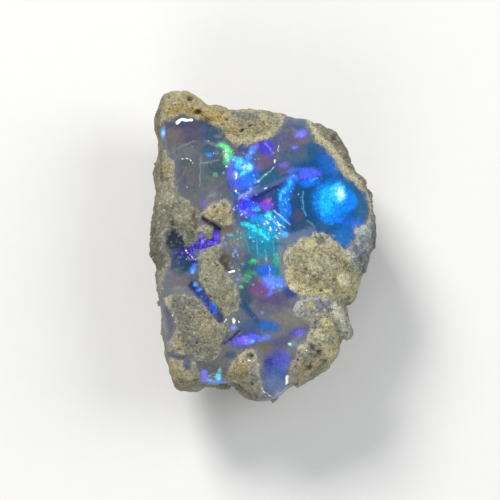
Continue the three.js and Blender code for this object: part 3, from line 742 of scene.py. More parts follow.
    Streak(((1.7, -0.3), (1.65, -1.6), (1.95, -2.6)), 0.34, (118, 126, 142), 0.65),
)

# The flashes of colour, painted as light that glows from the surface, from wide glows to their bright
# middles.
FLASHES: tuple[Mark, ...] = (
    Spot((-9.1, 10.65), (0.22, 0.42), -8, (8, 130, 245), 1.0),
    Spot((-9.05, 10.65), (0.1, 0.18), 0, (70, 210, 255), 1.0),
    Spot((-9.0, 11.2), (0.15, 0.1), 0, (120, 130, 200), 0.6),
    Spot((-4.9, 8.55), (0.3, 0.2), 0, (20, 116, 225), 0.9),
    Spot((-4.2, 8.8), (0.2, 0.2), 0, (50, 130, 90), 0.7),
    Streak(((-3.8, 9.5), (-3.3, 9.2), (-3.2, 8.6), (-3.3, 7.9)), 0.3, (34, 190, 96), 0.95),
    Streak(((-3.2, 9.2), (-3.0, 8.8), (-3.1, 8.3)), 0.24, (40, 225, 110), 0.9),
    Streak(((-3.3, 9.0), (-3.3, 8.5), (-3.2, 8.1)), 0.14, (170, 255, 180), 1.0),
    Spot((-3.65, 9.4), (0.25, 0.16), -30, (90, 240, 120), 1.0),
    Spot((-4.3, 6.65), (0.25, 0.22), 0, (110, 160, 110), 0.6),
    Spot((-1.7, 6.7), (1.15, 1.4), 0, (22, 78, 226), 0.95, 0.6),
    Spot((-2.75, 6.9), (0.4, 1.1), 8, (90, 86, 218), 0.8, 0.7),
    Spot((-2.45, 6.7), (0.22, 0.45), 0, (150, 170, 255), 0.9),
    Spot((-1.5, 6.2), (0.65, 0.9), 20, (4, 100, 228), 0.9),
    Spot((-2.4, 5.6), (0.3, 0.6), 0, (70, 70, 215), 0.8),
    Spot((-1.9, 7.5), (0.75, 0.55), -35, (16, 170, 245), 0.95, 0.5),
    Spot((-2.3, 8.1), (0.7, 0.26), -25, (16, 180, 240), 1.0),
    Spot((-1.7, 7.6), (0.72, 0.46), -40, (60, 225, 245), 1.0),
    Spot((-1.45, 7.4), (0.46, 0.33), -40, (165, 250, 250), 1.0),
    Spot((-1.75, 6.95), (0.5, 0.16), 50, (80, 225, 250), 1.0),
    Spot((-1.35, 8.2), (0.3, 0.5), -20, (10, 130, 240), 0.9),
    Spot((-0.85, 9.1), (0.3, 0.6), -30, (30, 76, 238), 0.95),
    Spot((-1.05, 8.85), (0.15, 0.15), 0, (60, 200, 250), 1.0),
    Spot((-1.5, 5.0), (0.9, 0.5), 20, (16, 60, 160), 0.7),
    Spot((0.2, 9.4), (0.7, 0.6), 0, (58, 46, 185), 0.6),
    Spot((0.6, 8.7), (0.4, 0.5), -30, (66, 54, 190), 0.55),
    Spot((3.45, 10.55), (0.5, 0.36), 20, (84, 76, 245), 1.0),
    Spot((3.4, 10.5), (0.28, 0.18), 0, (126, 98, 255), 0.85),
    Spot((2.85, 9.25), (0.28, 0.15), 10, (76, 84, 245), 0.9),
    Spot((1.9, 7.65), (0.5, 0.25), 10, (92, 76, 195), 0.6),
    Spot((2.8, 7.05), (0.6, 0.3), 20, (56, 88, 220), 0.7),
    Spot((4.15, 6.75), (1.0, 0.55), 5, (84, 66, 238), 0.95, 0.45),
    Spot((4.2, 5.95), (0.85, 0.4), 10, (8, 96, 240), 0.9, 0.5),
    Streak(((4.4, 6.1), (4.9, 6.4)), 0.07, (60, 150, 255), 0.9),
    Streak(((2.75, 6.3), (2.3, 5.5), (1.8, 4.8), (1.75, 3.9), (2.1, 3.0)), 0.42, (2, 104, 232), 1.0),
    Streak(((2.5, 6.0), (2.15, 5.4), (1.85, 5.0)), 0.18, (30, 190, 248), 0.95),
    Streak(((1.6, 4.8), (1.55, 4.3)), 0.12, (60, 220, 250), 0.95),
    Spot((2.0, 3.6), (0.5, 0.75), 0, (6, 104, 220), 0.95, 0.35),
    Spot((2.3, 4.9), (0.35, 0.6), -10, (14, 104, 215), 0.8),
    Spot((2.1, 4.15), (0.12, 0.12), 0, (90, 190, 255), 0.9),
    Spot((2.1, 3.3), (0.12, 0.12), 0, (80, 160, 255), 0.8),
    Streak(((1.1, 3.3), (1.7, 2.6)), 0.07, (100, 200, 250), 0.9),
    Spot((6.0, 7.6), (1.2, 0.7), -50, (18, 76, 175), 0.5),
    Spot((6.3, 4.2), (1.65, 1.8), 0, (0, 122, 238), 1.0, 0.4),
    Spot((7.7, 4.2), (0.8, 0.8), 0, (0, 116, 240), 0.95, 0.35),
    Spot((6.2, 2.6), (0.9, 0.5), 0, (2, 124, 242), 0.9, 0.4),
    Spot((5.7, 4.0), (0.6, 0.9), 0, (8, 190, 245), 1.0, 0.6),
    Spot((6.3, 5.0), (0.9, 0.6), 20, (16, 190, 248), 0.95, 0.6),
    Spot((6.85, 4.95), (0.55, 0.85), 8, (90, 235, 250), 1.0, 0.5),
    Spot((7.0, 4.95), (0.32, 0.58), 8, (215, 255, 248), 1.0, 0.45),
    Spot((6.4, 5.4), (0.3, 0.2), 0, (80, 230, 250), 0.9),
    Spot((7.9, 2.3), (1.3, 0.6), -15, (26, 76, 180), 0.6),
    Spot((7.2, 0.9), (0.8, 0.9), 0, (22, 86, 170), 0.5),
    Spot((-1.5, 3.7), (0.7, 0.9), 0, (56, 40, 226), 0.95),
    Spot((-1.2, 3.05), (0.5, 0.3), 0, (84, 64, 235), 0.9),
    Spot((-0.75, 3.65), (0.6, 0.4), 0, (10, 104, 225), 0.9),
    Spot((-0.5, 3.45), (0.2, 0.14), 0, (70, 215, 250), 1.0),
    Spot((0.35, 3.7), (0.55, 0.55), 0, (112, 64, 205), 0.85),
    Spot((0.35, 4.2), (0.42, 0.18), 28, (196, 52, 140), 0.75, 0.7),
    Spot((-0.3, 2.6), (0.9, 0.35), 10, (4, 118, 225), 0.9),
    Spot((1.0, 2.2), (1.1, 0.9), 0, (6, 116, 222), 0.85),
    Spot((0.6, 2.85), (0.3, 0.35), 0, (60, 215, 225), 0.9),
    Spot((1.9, 1.1), (0.4, 0.3), 0, (10, 150, 230), 0.9),
    Spot((-0.1, 1.1), (1.4, 0.7), -15, (8, 150, 185), 0.8),
    Streak(((-1.8, 2.1), (-0.9, 1.85), (-0.3, 1.4), (0.5, 0.8)), 0.22, (8, 180, 215), 0.85),
    Streak(((-1.5, 1.95), (-0.9, 1.8)), 0.09, (60, 235, 250), 0.85),
    Streak(((-0.6, 1.5), (0.1, 0.95)), 0.09, (30, 240, 230), 0.85),
    Spot((0.1, -0.3), (1.2, 0.9), 0, (8, 104, 130), 0.55),
    Spot((1.2, -1.3), (0.25, 0.6), 0, (8, 150, 112), 0.8),
    Spot((-0.9, -1.45), (0.42, 0.24), 10, (14, 165, 108), 0.9),
    Spot((-0.85, -1.3), (0.16, 0.1), 0, (40, 220, 140), 0.9),
    Spot((-1.4, -2.8), (0.6, 0.35), 55, (60, 130, 60), 0.75),
    Spot((-0.75, -2.5), (0.15, 0.2), 0, (70, 150, 70), 0.7),
    Spot((-1.95, -3.8), (0.2, 0.13), 0, (70, 200, 60), 0.9),
    Spot((0.3, -2.2), (0.9, 0.5), 0, (14, 72, 175), 0.7),
    Spot((-0.1, -4.3), (0.8, 0.6), 0, (84, 26, 62), 0.5),
    Spot((0.95, -3.35), (1.0, 0.65), -10, (2, 104, 235), 0.95, 0.5),
    Streak(((0.3, -3.4), (0.7, -3.9), (0.6, -4.5)), 0.16, (64, 66, 240), 0.95),
    Spot((1.35, -3.6), (0.14, 0.14), 0, (70, 160, 255), 0.9),
    Spot((0.9, -3.9), (0.13, 0.11), 0, (90, 150, 255), 0.9),
    Spot((0.5, -4.5), (0.18, 0.12), 0, (70, 80, 255), 0.9),
    Spot((-2.5, -0.5), (0.2, 0.2), 0, (20, 104, 220), 0.9),
    Spot((-3.0, 1.05), (0.3, 0.14), -25, (40, 180, 225), 0.9),
    Spot((-3.4, 0.2), (0.18, 0.18), 0, (40, 100, 210), 0.8),
    Spot((-2.25, -3.15), (0.22, 0.12), 0, (90, 84, 200), 0.8),
    Spot((-0.1, -6.2), (0.18, 0.18), 0, (80, 130, 205), 0.5),
    Spot((0.5, -7.4), (0.9, 0.5), 0, (12, 64, 140), 0.6),
    Spot((-2.2, -8.9), (0.7, 0.3), 15, (80, 64, 190), 0.85),
    Spot((-1.4, -8.7), (0.75, 0.4), 8, (98, 66, 245), 1.0, 0.4),
    Spot((-0.9, -8.5), (0.5, 0.35), 10, (40, 70, 245), 0.9),
    Spot((0.15, -8.5), (0.6, 0.26), 8, (16, 88, 215), 0.9),
    Spot((-1.5, -8.7), (0.2, 0.1), 10, (186, 120, 255), 0.9),
    Spot((-0.98, -8.85), (0.2, 0.14), 0, (60, 210, 255), 1.0),
    Streak(((-7.0, -0.45), (-6.2, -0.1), (-5.2, 0.3), (-4.2, 0.45)), 0.26, (50, 28, 180), 0.45),
    Spot((-5.35, 0.45), (0.28, 0.12), 40, (170, 160, 255), 0.95),
    Spot((-4.5, 0.25), (0.3, 0.14), 10, (96, 50, 245), 0.95),
    Spot((-4.2, 1.0), (0.2, 0.4), 0, (86, 46, 228), 0.95),
    Spot((-5.6, 0.9), (0.2, 0.35), 0, (84, 70, 220), 0.7),
    Spot((-6.4, -0.8), (0.3, 0.25), 0, (50, 34, 160), 0.8),
    Spot((-6.3, -2.1), (0.24, 0.48), -18, (8, 108, 228), 1.0, 0.4),
    Spot((-6.4, -2.35), (0.1, 0.2), -18, (80, 200, 255), 0.95),
    Spot((-6.1, -3.45), (0.18, 0.18), 0, (50, 140, 240), 0.95),
    Spot((-5.75, -4.0), (0.22, 0.18), 0, (70, 160, 255), 1.0),
    Spot((-4.5, -5.55), (0.26, 0.26), 0, (26, 110, 240), 1.0, 0.4),
    Spot((-4.25, -6.0), (0.14, 0.18), 0, (60, 130, 230), 0.8),
    Streak(((-5.9, -4.2), (-5.1, -4.9), (-4.6, -5.4), (-4.0, -6.4)), 0.16, (10, 44, 140), 0.4),
    Spot((-2.6, -7.5), (0.3, 0.26), 0, (84, 120, 235), 0.85),
    Spot((-5.95, -1.15), (0.15, 0.12), 0, (40, 120, 210), 0.8),
    Spot((1.9, -10.6), (0.45, 0.9), 0, (62, 58, 190), 0.5, 0.8),
    Spot((1.1, -11.2), (0.8, 1.0), 0, (36, 54, 136), 0.42, 0.8),
    Spot((1.1, -12.5), (1.1, 1.1), 0, (40, 62, 96), 0.5, 0.8),
    Spot((3.3, -8.1), (0.4, 0.3), 40, (84, 74, 205), 0.7),
    Spot((2.4, -9.1), (0.17, 0.12), -40, (170, 255, 215), 1.0),
    Spot((2.7, -9.0), (0.4, 0.3), 0, (90, 130, 160), 0.4),
    Spot((-5.3, -11.8), (0.28, 0.34), 0, (96, 78, 242), 0.95),
    Spot((-5.3, -12.4), (0.4, 0.25), 0, (74, 56, 215), 0.85),
    Spot((-4.0, -12.2), (0.2, 0.4), 0, (22, 205, 235), 1.0),
    Spot((-3.85, -11.5), (0.14, 0.25), 0, (50, 185, 165), 0.85),
    Streak(((-5.0, -12.45), (-4.0, -12.7), (-3.0, -12.95)), 0.16, (12, 112, 215), 1.0),
    Streak(((-4.9, -12.75), (-3.9, -12.95)), 0.07, (60, 130, 190), 0.8),
)


@dataclass(frozen=True)
class Flecks:
    """Small crumbs of colour scattered over a place."""

    at: Place
    size: Place
    turn: float
    grain: float  # the size of a crumb
    share: float  # how many of the crumbs are lit in the middle of the place
    colours: tuple[Display, ...]
    strength: float = 0.9
    edge: float = 0.6
    heights: Band = (5.0, 7.0)  # the crumbs come in between these
    crumb_edge: Band = (0.75, 0.4)  # a crumb's own edge, as shares of its size
    draw: float = 7919.0  # draws a crumb's colour from its mark

    def lay(self, ground: Array, skin: "Skin", seed: int) -> Array:
        """Lays the crumbs on a ground.

        Args:
            ground: A colour for each point.
            skin: The surface.
            seed: Which of many scatters to use.

        Returns:
            A colour for each point.
        """
        oval = Patch(self.at, self.size, self.turn, self.edge)
        place = oval.share(skin.marks) * skin.upper(self.heights)
        here = np.flatnonzero(place > 0.0)
        crumbs = Noise.grains(skin.points[here], self.grain, seed)
        lit = (crumbs.mark > 1.0 - self.share * place[here]) * smoothstep(*self.crumb_edge, crumbs.near)
        pick = np.floor(crumbs.tone(self.draw) * len(self.colours)).astype(int)
        colours = np.stack([light(colour) for colour in self.colours])[pick]
        laid = ground.copy()
        laid[here] = blend(ground[here], colours, self.strength * lit)
        return laid


# Crumbs of the play of colour, laid into its painted glow.
CRUMBS = (
    Flecks((-1.9, 6.9), (1.2, 1.6), 0, 0.22, 0.16,
           ((130, 200, 255), (90, 90, 250), (20, 160, 250), (70, 230, 250))),
    Flecks((-1.0, 8.9), (0.6, 0.9), 0, 0.2, 0.2, ((60, 120, 255), (40, 160, 255), (30, 70, 220))),
    Flecks((-1.4, 3.6), (1.1, 1.0), 0, 0.18, 0.22,
           ((120, 130, 255), (200, 210, 255), (90, 60, 255), (20, 170, 255))),
    Flecks((0.3, 3.8), (0.7, 0.6), 0, 0.2, 0.3, ((190, 56, 160), (120, 66, 220), (60, 50, 160)), 0.8),
    Flecks((0.9, 2.2), (1.3, 0.9), 0, 0.2, 0.26,
           ((120, 240, 250), (230, 250, 255), (10, 170, 250), (20, 90, 200))),
    Flecks((-0.2, 1.2), (1.6, 0.8), 0, 0.2, 0.25, ((40, 230, 240), (120, 240, 230), (20, 150, 190))),
    Flecks((-1.2, -2.2), (0.9, 1.2), 0, 0.16, 0.06, ((60, 190, 110), (110, 190, 80), (30, 160, 140))),
    Flecks((0.8, -3.4), (1.0, 0.8), 0, 0.22, 0.3, ((60, 140, 255), (70, 90, 255), (30, 120, 240))),
    Flecks((-7.7, 0.3), (1.0, 1.2), 0, 0.2, 0.14, ((90, 108, 112), (60, 84, 104), (120, 130, 130)), 0.6),
    Flecks((-6.9, -1.2), (1.0, 1.0), 0, 0.2, 0.12, ((130, 130, 140), (60, 80, 160)), 0.6),
    Flecks((-5.6, 0.1), (1.8, 0.6), 12, 0.18, 0.6,
           ((130, 110, 255), (90, 60, 250), (20, 12, 60), (30, 20, 90))),
    Flecks((-5.2, -4.9), (1.7, 0.45), -52, 0.18, 0.45,
           ((20, 100, 240), (40, 140, 255), (8, 14, 50), (30, 60, 200))),
    Flecks((-2.4, -1.4), (0.7, 2.2), 0, 0.16, 0.12, ((170, 175, 190), (90, 110, 200), (60, 110, 190)), 0.7),
    Flecks((6.1, 4.3), (1.2, 1.3), 0, 0.2, 0.22, ((40, 210, 250), (10, 160, 250), (30, 190, 250)), 0.7),
    Flecks((4.2, 6.6), (0.9, 0.7), 0, 0.18, 0.3, ((90, 90, 250), (60, 80, 230)), 0.6),
    Flecks((2.0, 4.6), (0.6, 1.5), -10, 0.16, 0.16, ((90, 230, 250), (20, 160, 250), (40, 100, 210))),
    Flecks((-5.9, 7.6), (3.0, 4.2), 0, 0.16, 0.02, ((150, 80, 80), (80, 140, 80), (130, 130, 150)), 0.6),
    Flecks((-3.2, 8.6), (0.5, 0.9), 0, 0.16, 0.3, ((90, 240, 130), (180, 255, 190), (20, 160, 90))),
    Flecks((-1.4, -8.7), (1.1, 0.4), 10, 0.18, 0.3, ((150, 110, 255), (90, 70, 250), (60, 130, 255))),
    Flecks((-4.6, -12.3), (1.1, 0.7), 0, 0.16, 0.2, ((60, 200, 220), (100, 90, 240), (20, 120, 200))),
    Flecks((1.4, -10.7), (0.9, 0.9), 0, 0.2, 0.12, ((84, 80, 210), (60, 64, 170)), 0.5),
    Flecks((7.6, 1.6), (1.6, 1.4), 0, 0.2, 0.05, ((60, 120, 210), (90, 150, 210)), 0.6),
)


@dataclass(frozen=True)
class Glint:
    """A low raised edge or chip with a painted highlight on it, pale where it would catch the light."""

    line: tuple[Place, ...]
    width: float  # half its width
    height: float = 0.03  # how far it stands up
    slope: float = 0.08  # the width of the slope up to it

    def lift(self, plan: Array) -> Array:
        """How far it lifts each point."""
        return self.height * smoothstep(self.width + self.slope, 0.0, line_distance(plan, self.line))


# The painted highlights: pale strokes and dots on low raised edges and chips, where they would catch the
# light.
GLINTS = (
    Glint(((-7.8, 11.6), (-7.4, 11.85), (-6.9, 11.8), (-6.5, 11.85)), 0.17),
    Glint(((-7.5, 8.15), (-7.0, 8.25), (-6.7, 8.15), (-6.4, 7.95), (-6.35, 7.75)), 0.05),
    Glint(((-7.85, 8.5), (-7.6, 8.25)), 0.03),
    Glint(((-6.85, 5.5),), 0.1),
    Glint(((-4.5, 8.7),), 0.1),
    Glint(((-3.3, 7.5),), 0.1),
    Glint(((-4.9, 9.9),), 0.08),
    Glint(((-4.9, 11.4),), 0.06),
    Glint(((-2.4, 6.8), (-2.4, 6.4)), 0.1),
    Glint(((-2.5, 5.15),), 0.12),
    Glint(((1.4, 9.4), (1.35, 8.9)), 0.07),
    Glint(((1.1, 8.1), (1.05, 7.85)), 0.1),
    Glint(((1.3, 8.5), (1.5, 8.2)), 0.04),
    Glint(((0.95, 7.4), (0.8, 7.2)), 0.08),
    Glint(((-0.7, 5.8), (0.0, 6.5), (0.6, 7.0)), 0.025),
    Glint(((0.1, 5.35), (0.4, 5.45)), 0.05),
    Glint(((2.8, 6.6),), 0.07),
    Glint(((3.4, 7.2),), 0.06),
    Glint(((3.25, 4.9), (3.4, 4.3), (3.5, 3.6), (3.6, 3.1)), 0.035),
    Glint(((-0.9, 4.1),), 0.07),
    Glint(((-1.9, 3.8),), 0.06),
    Glint(((-1.85, 3.0),), 0.09),
    Glint(((0.3, 2.3), (0.6, 1.7), (0.8, 1.3)), 0.06),
    Glint(((0.6, 1.75),), 0.12),
    Glint(((1.3, 2.2), (1.7, 1.95), (2.0, 1.7)), 0.08),
    Glint(((1.0, 2.6), (1.4, 2.2)), 0.04),
    Glint(((0.8, 2.4), (1.1, 1.6)), 0.03),
    Glint(((1.2, 3.3), (1.9, 2.5)), 0.025),
    Glint(((1.5, 1.2),), 0.1),
    Glint(((1.05, 0.85), (1.4, 0.7)), 0.07),
    Glint(((0.0, -0.9),), 0.04),
    Glint(((0.15, -1.1), (0.4, -1.5)), 0.035),
    Glint(((0.6, -2.2), (0.6, -2.55)), 0.035),
    Glint(((-6.95, -0.4),), 0.12),
    Glint(((-6.85, -0.55), (-6.5, -0.9), (-6.1, -1.3)), 0.03),
    Glint(((-6.9, -1.25),), 0.06),
    Glint(((-2.95, -2.4), (-2.6, -2.35)), 0.11),
    Glint(((-2.7, -1.9),), 0.08),
    Glint(((-2.8, -2.9), (-2.5, -2.8)), 0.04),
    Glint(((-3.5, -7.1), (-3.25, -6.75)), 0.06),
    Glint(((-2.65, -6.85), (-2.6, -7.1)), 0.15),
    Glint(((-2.1, -7.05),), 0.1),
    Glint(((-3.65, -7.85),), 0.06),
    Glint(((2.15, -12.05), (2.1, -12.7)), 0.15),
    Glint(((-0.1, -13.1), (0.1, -13.5), (0.7, -13.9)), 0.06),
    Glint(((0.9, -13.9), (1.5, -13.5), (2.2, -13.05)), 0.025),
    Glint(((3.2, -5.2),), 0.08),
    Glint(((2.4, -10.0),), 0.08),
    Glint(((3.95, -9.65),), 0.08),
    Glint(((2.4, -9.1),), 0.05),
    Glint(((-1.3, -10.6), (-1.1, -10.65)), 0.08),
    Glint(((4.6, -9.0),), 0.06),
    Glint(((3.3, -10.8),), 0.06),
    Glint(((2.9, -11.4), (3.1, -11.5)), 0.04),
    Glint(((2.8, -2.0),), 0.07),
    Glint(((3.6, -0.9),), 0.05),
    Glint(((-5.4, 2.9),), 0.05),
    Glint(((-9.3, 0.4),), 0.05),
    Glint(((-0.85, -10.6),), 0.06),
    Glint(((-8.1, -6.45),), 0.07),
    Glint(((-7.85, -7.05),), 0.09),
    Glint(((-8.4, -9.75),), 0.07),
    Glint(((-6.8, -11.3),), 0.06),
    Glint(((-6.75, -10.9),), 0.05),
    Glint(((8.0, 6.2),), 0.06),
    Glint(((-7.8, -1.4),), 0.05),
)


@dataclass(frozen=True)
class Groove:
    """A long crack or chip, or a low ridge."""

    line: tuple[Place, ...]
    width: float  # half its width
    height: float  # how far its middle stands up, negative for a crack
    edge: Band = (1.6, 0.3)  # where it starts and is full, in half widths

    def lift(self, plan: Array) -> Array:
        """How far it lifts each point."""
        return self.height * soft_line(plan, self.line, self.width, self.edge)


# Open cracks between the islands, chips in the glass, and the low ridge across the window.
GROOVES = (
    Groove(((-7.1, -0.5), (-6.3, -0.1), (-5.6, 0.2), (-4.9, 0.4), (-4.3, 0.45), (-4.15, 1.4)), 0.32, -0.16),
    Groove(((-5.6, 0.3), (-5.6, 1.1)), 0.2, -0.15),
    Groove(((-6.6, -0.6), (-6.1, -1.3), (-6.3, -2.4), (-6.2, -3.4)), 0.22, -0.12),
    Groove(((-6.2, -3.5), (-5.5, -4.5), (-4.8, -5.4), (-4.2, -6.2), (-3.8, -6.9)), 0.34, -0.15),
    Groove(((-5.4, 2.7), (-4.9, 2.2), (-4.3, 1.8), (-4.0, 1.5)), 0.16, -0.15),
    Groove(((-3.5, -1.2), (-3.2, -2.3)), 0.3, -0.2),
    Groove(((-3.5, -9.0), (-2.8, -8.5), (-2.1, -7.9)), 0.12, -0.03),
    Groove(((-1.9, 4.4), (-1.0, 4.9), (0.0, 5.5), (1.0, 5.95), (2.0, 6.25), (2.9, 6.6)), 0.3, 0.035),
    Groove(((-0.8, 4.3), (0.3, 4.9), (1.3, 5.4), (2.2, 5.75)), 0.24, -0.04),
    Groove(((3.25, 4.9), (3.45, 4.0), (3.6, 3.0)), 0.1, -0.05),
    Groove(((-8.6, -10.1), (-7.8, -10.4), (-7.0, -10.4), (-6.6, -10.9), (-6.7, -11.4)), 0.2, -0.15),
    Groove(((-1.8, -5.3), (-0.9, -6.6)), 0.14, -0.06),
)

# The silhouette's corners, seen from above along the slant of the marks.
OUTLINE = (
    (10.2, 1.0), (10.15, 0.0), (9.85, -0.6), (9.65, -1.6), (9.5, -2.2), (9.0, -2.8), (8.8, -3.5),
    (8.45, -4.2), (8.15, -5.2), (7.45, -5.6), (7.6, -6.3), (7.8, -7.2), (8.0, -8.0), (7.8, -8.6),
    (7.2, -8.7), (6.95, -9.2), (6.8, -10.3), (6.4, -10.8), (5.4, -11.5), (4.4, -12.2), (3.2, -12.9),
    (2.5, -13.1), (2.0, -13.7), (1.0, -14.4), (0.0, -14.6), (-0.8, -14.5), (-1.6, -14.0), (-2.2, -13.4),
    (-3.0, -13.0), (-4.0, -13.05), (-5.6, -13.15), (-6.0, -13.4), (-7.4, -13.4), (-8.1, -12.9),
    (-8.4, -12.0), (-8.8, -10.0), (-9.1, -8.0), (-9.3, -6.0), (-9.5, -4.5), (-9.6, -2.0), (-10.0, -1.0),
    (-10.2, 0.0), (-10.0, 1.5), (-9.9, 3.5), (-9.7, 5.0), (-9.9, 6.5), (-9.8, 7.5), (-9.6, 8.5),
    (-9.4, 10.0), (-9.75, 11.0), (-9.95, 12.2), (-9.6, 13.2), (-9.0, 14.2), (-8.0, 14.55), (-7.0, 14.65),
    (-6.2, 14.3), (-5.7, 13.8), (-5.2, 13.4), (-4.0, 13.3), (-3.0, 12.8), (-1.5, 12.8), (0.0, 12.8),
    (1.2, 12.5), (2.3, 12.3), (3.0, 12.1), (4.2, 12.0), (4.8, 11.5), (5.8, 11.0), (6.6, 10.8),
    (7.0, 10.2), (7.4, 9.5), (7.8, 8.8), (8.0, 8.0), (8.4, 7.0), (9.0, 6.5), (9.4, 5.8), (9.7, 4.8),
    (9.9, 3.8), (9.95, 3.0), (10.1, 2.0),
)


def ring_radius(outline: Sequence[Place], turns: Array) -> Array:
    """How far a closed outline stands from its axis in each direction.

    Args:
        outline: Its corners, each direction meeting it once.
        turns: The directions, in radians.

    Returns:
        One radius for each direction.
    """
    radius = np.zeros(len(turns))
    ways = np.stack([np.cos(turns), np.sin(turns)], axis=1)
    for (ax, ay), (bx, by) in zip(outline, (*outline[1:], outline[0])):
        across = ways[:, 0] * (by - ay) - ways[:, 1] * (bx - ax)
        across = np.where(np.abs(across) < 1e-9, 1e-9, across)
        reach = (ax * (by - ay) - ay * (bx - ax)) / across
        share = (ax * ways[:, 1] - ay * ways[:, 0]) / across
        met = (reach > 0.0) & (share >= 0.0) & (share <= 1.0)
        radius = np.where(met, np.maximum(radius, reach), radius)
    return radius


def slanted(points: Array) -> Array:
    """Points from above, from the outline's axis, as they lie where the walls' slant brings them."""
    plan = points[:, :2] - AXIS
    return plan + np.stack([np.zeros(len(plan)), LEAN * (points[:, 2] - TOP)], axis=1)


def trim(points: Array) -> Array:
    """Draws the stone's rim to its outline.

    Args:
        points: The skin's points, in mm.

    Returns:
        The points, those near the rim moved level, in or out from the axis.
    """
    seen = slanted(points)
    turn = np.arctan2(seen[:, 1], seen[:, 0])
    radius = np.hypot(seen[:, 0], seen[:, 1])
    part = ((turn / math.tau + 0.5) * RIM_PARTS).astype(int) % RIM_PARTS
    widest = np.zeros(RIM_PARTS)
    np.maximum.at(widest, part, radius)
    middles = ((np.arange(RIM_PARTS) + 0.5) / RIM_PARTS - 0.5) * math.tau
    change = ring_radius(OUTLINE, middles) / widest
    grow = np.interp(turn, middles, change, period=math.tau)
    local = np.interp(turn, middles, widest, period=math.tau)
    share = smoothstep(*RIM_BAND, radius / local)
    moved = points.copy()
    moved[:, :2] = AXIS + (points[:, :2] - AXIS) * (1.0 + (grow - 1.0) * share)[:, None]
    return moved


@dataclass
class Skin:
    """The stone's surface, with what is worked out for each of its points."""

    points: Array  # rows of x, y and z, mm
    normals: Array
    marks: Array = field(init=False)  # seen from above along the walls' slant, and waved a little
    wave: tuple[Lumps, Lumps] = (RoughLumps(0.09, 0.8, 3), RoughLumps(0.09, 0.8, 4))
    shiver: tuple[Lumps, Lumps] = (Lumps(0.05, 0.25, 5), Lumps(0.05, 0.25, 6))
    ragged: RoughLumps = RoughLumps(0.2, 0.9, 11)
    frayed: Lumps = Lumps(0.1, 0.25, 12)
    most: float = 1.5  # distances on the window are cut off here, mm
    seams: RoughLumps = RoughLumps(1.6, 4.6, 13)  # opal in the walls, where it falls below nought
    seam_level: float = 0.42
    seam_squash: tuple[float, float, float] = (1.0, 1.0, 1.8)  # the seams lie flat
    spills: tuple[Patch, ...] = (
        Patch((1.1, -13.4), (1.5, 3.4), edge=0.3),
        Patch((-4.6, -12.3), (1.1, 2.2), edge=0.3),
    )  # where opal runs on down the front wall
    spill_tear: tuple[Lumps, Lumps] = (RoughLumps(0.8, 1.7, 15), RoughLumps(0.8, 1.7, 16))
    spill_depth: float = 2.6
    spill_heights: Band = (4.9, 6.6)
    spill_foot: RoughLumps = RoughLumps(1.8, 1.4, 14)
    brow_heights: Band = (6.6, 8.2)  # the walls give way to the window between these
    brow_edge: RoughLumps = RoughLumps(0.8, 1.5, 17)
    glint_heights: Band = (6.0, 7.0)
    far: float = 1.0  # distances to a glint are cut off here, mm
    clump_packing: Packing = Packing(0.42, 21)
    sand_packing: Packing = Packing(0.24, 22)

    def __post_init__(self) -> None:
        """Works out where the marks lie."""
        self.marks = slanted(self.points) + shift(self.wave, self.points) + shift(self.shiver, self.points)

    @functools.cached_property
    def clumps(self) -> Grains:
        """The rock's larger grains."""
        return self.clump_packing.over(self.points)

    @functools.cached_property
    def sand(self) -> Grains:
        """The rock's small grains."""
        return self.sand_packing.over(self.points)

    def upper(self, heights: Band, uneven: Array | float = 0.0) -> Array:
        """A share from 0 at one height to 1 at another, along an uneven line."""
        return smoothstep(*heights, self.points[:, 2] + uneven)

    def rock_distance(self) -> Array:
        """How far each point is inside the rock.

        Returns:
            One distance for each point, in mm, negative in the opal.
        """
        on_top = np.max([inside_distance(self.marks, crust.outline) for crust in CRUSTS.values()], axis=0)
        torn = self.marks + shift(self.spill_tear, self.points)
        spilt = np.max([spill.share(torn) for spill in self.spills], axis=0)
        spilt = spilt * self.upper(self.spill_heights, self.spill_foot.over(self.points))
        in_walls = self.seam_level + self.seams.over(self.points * self.seam_squash)
        in_walls = in_walls - self.spill_depth * spilt
        brow = self.upper(self.brow_heights, self.brow_edge.over(self.points))
        ragged = self.ragged.over(self.points) + self.frayed.over(self.points)
        return blend(in_walls, np.clip(on_top, -self.most, self.most), brow) + ragged

    def painted_glint_distance(self) -> Array:
        """How far each point is from the edge of the nearest painted highlight, in mm, and large on the
        walls.
        """
        away = np.min([line_distance(self.marks, glint.line) - glint.width for glint in GLINTS], axis=0)
        return np.clip(away, -self.far, self.far) + 2.0 * self.far * (1.0 - self.upper(self.glint_heights))


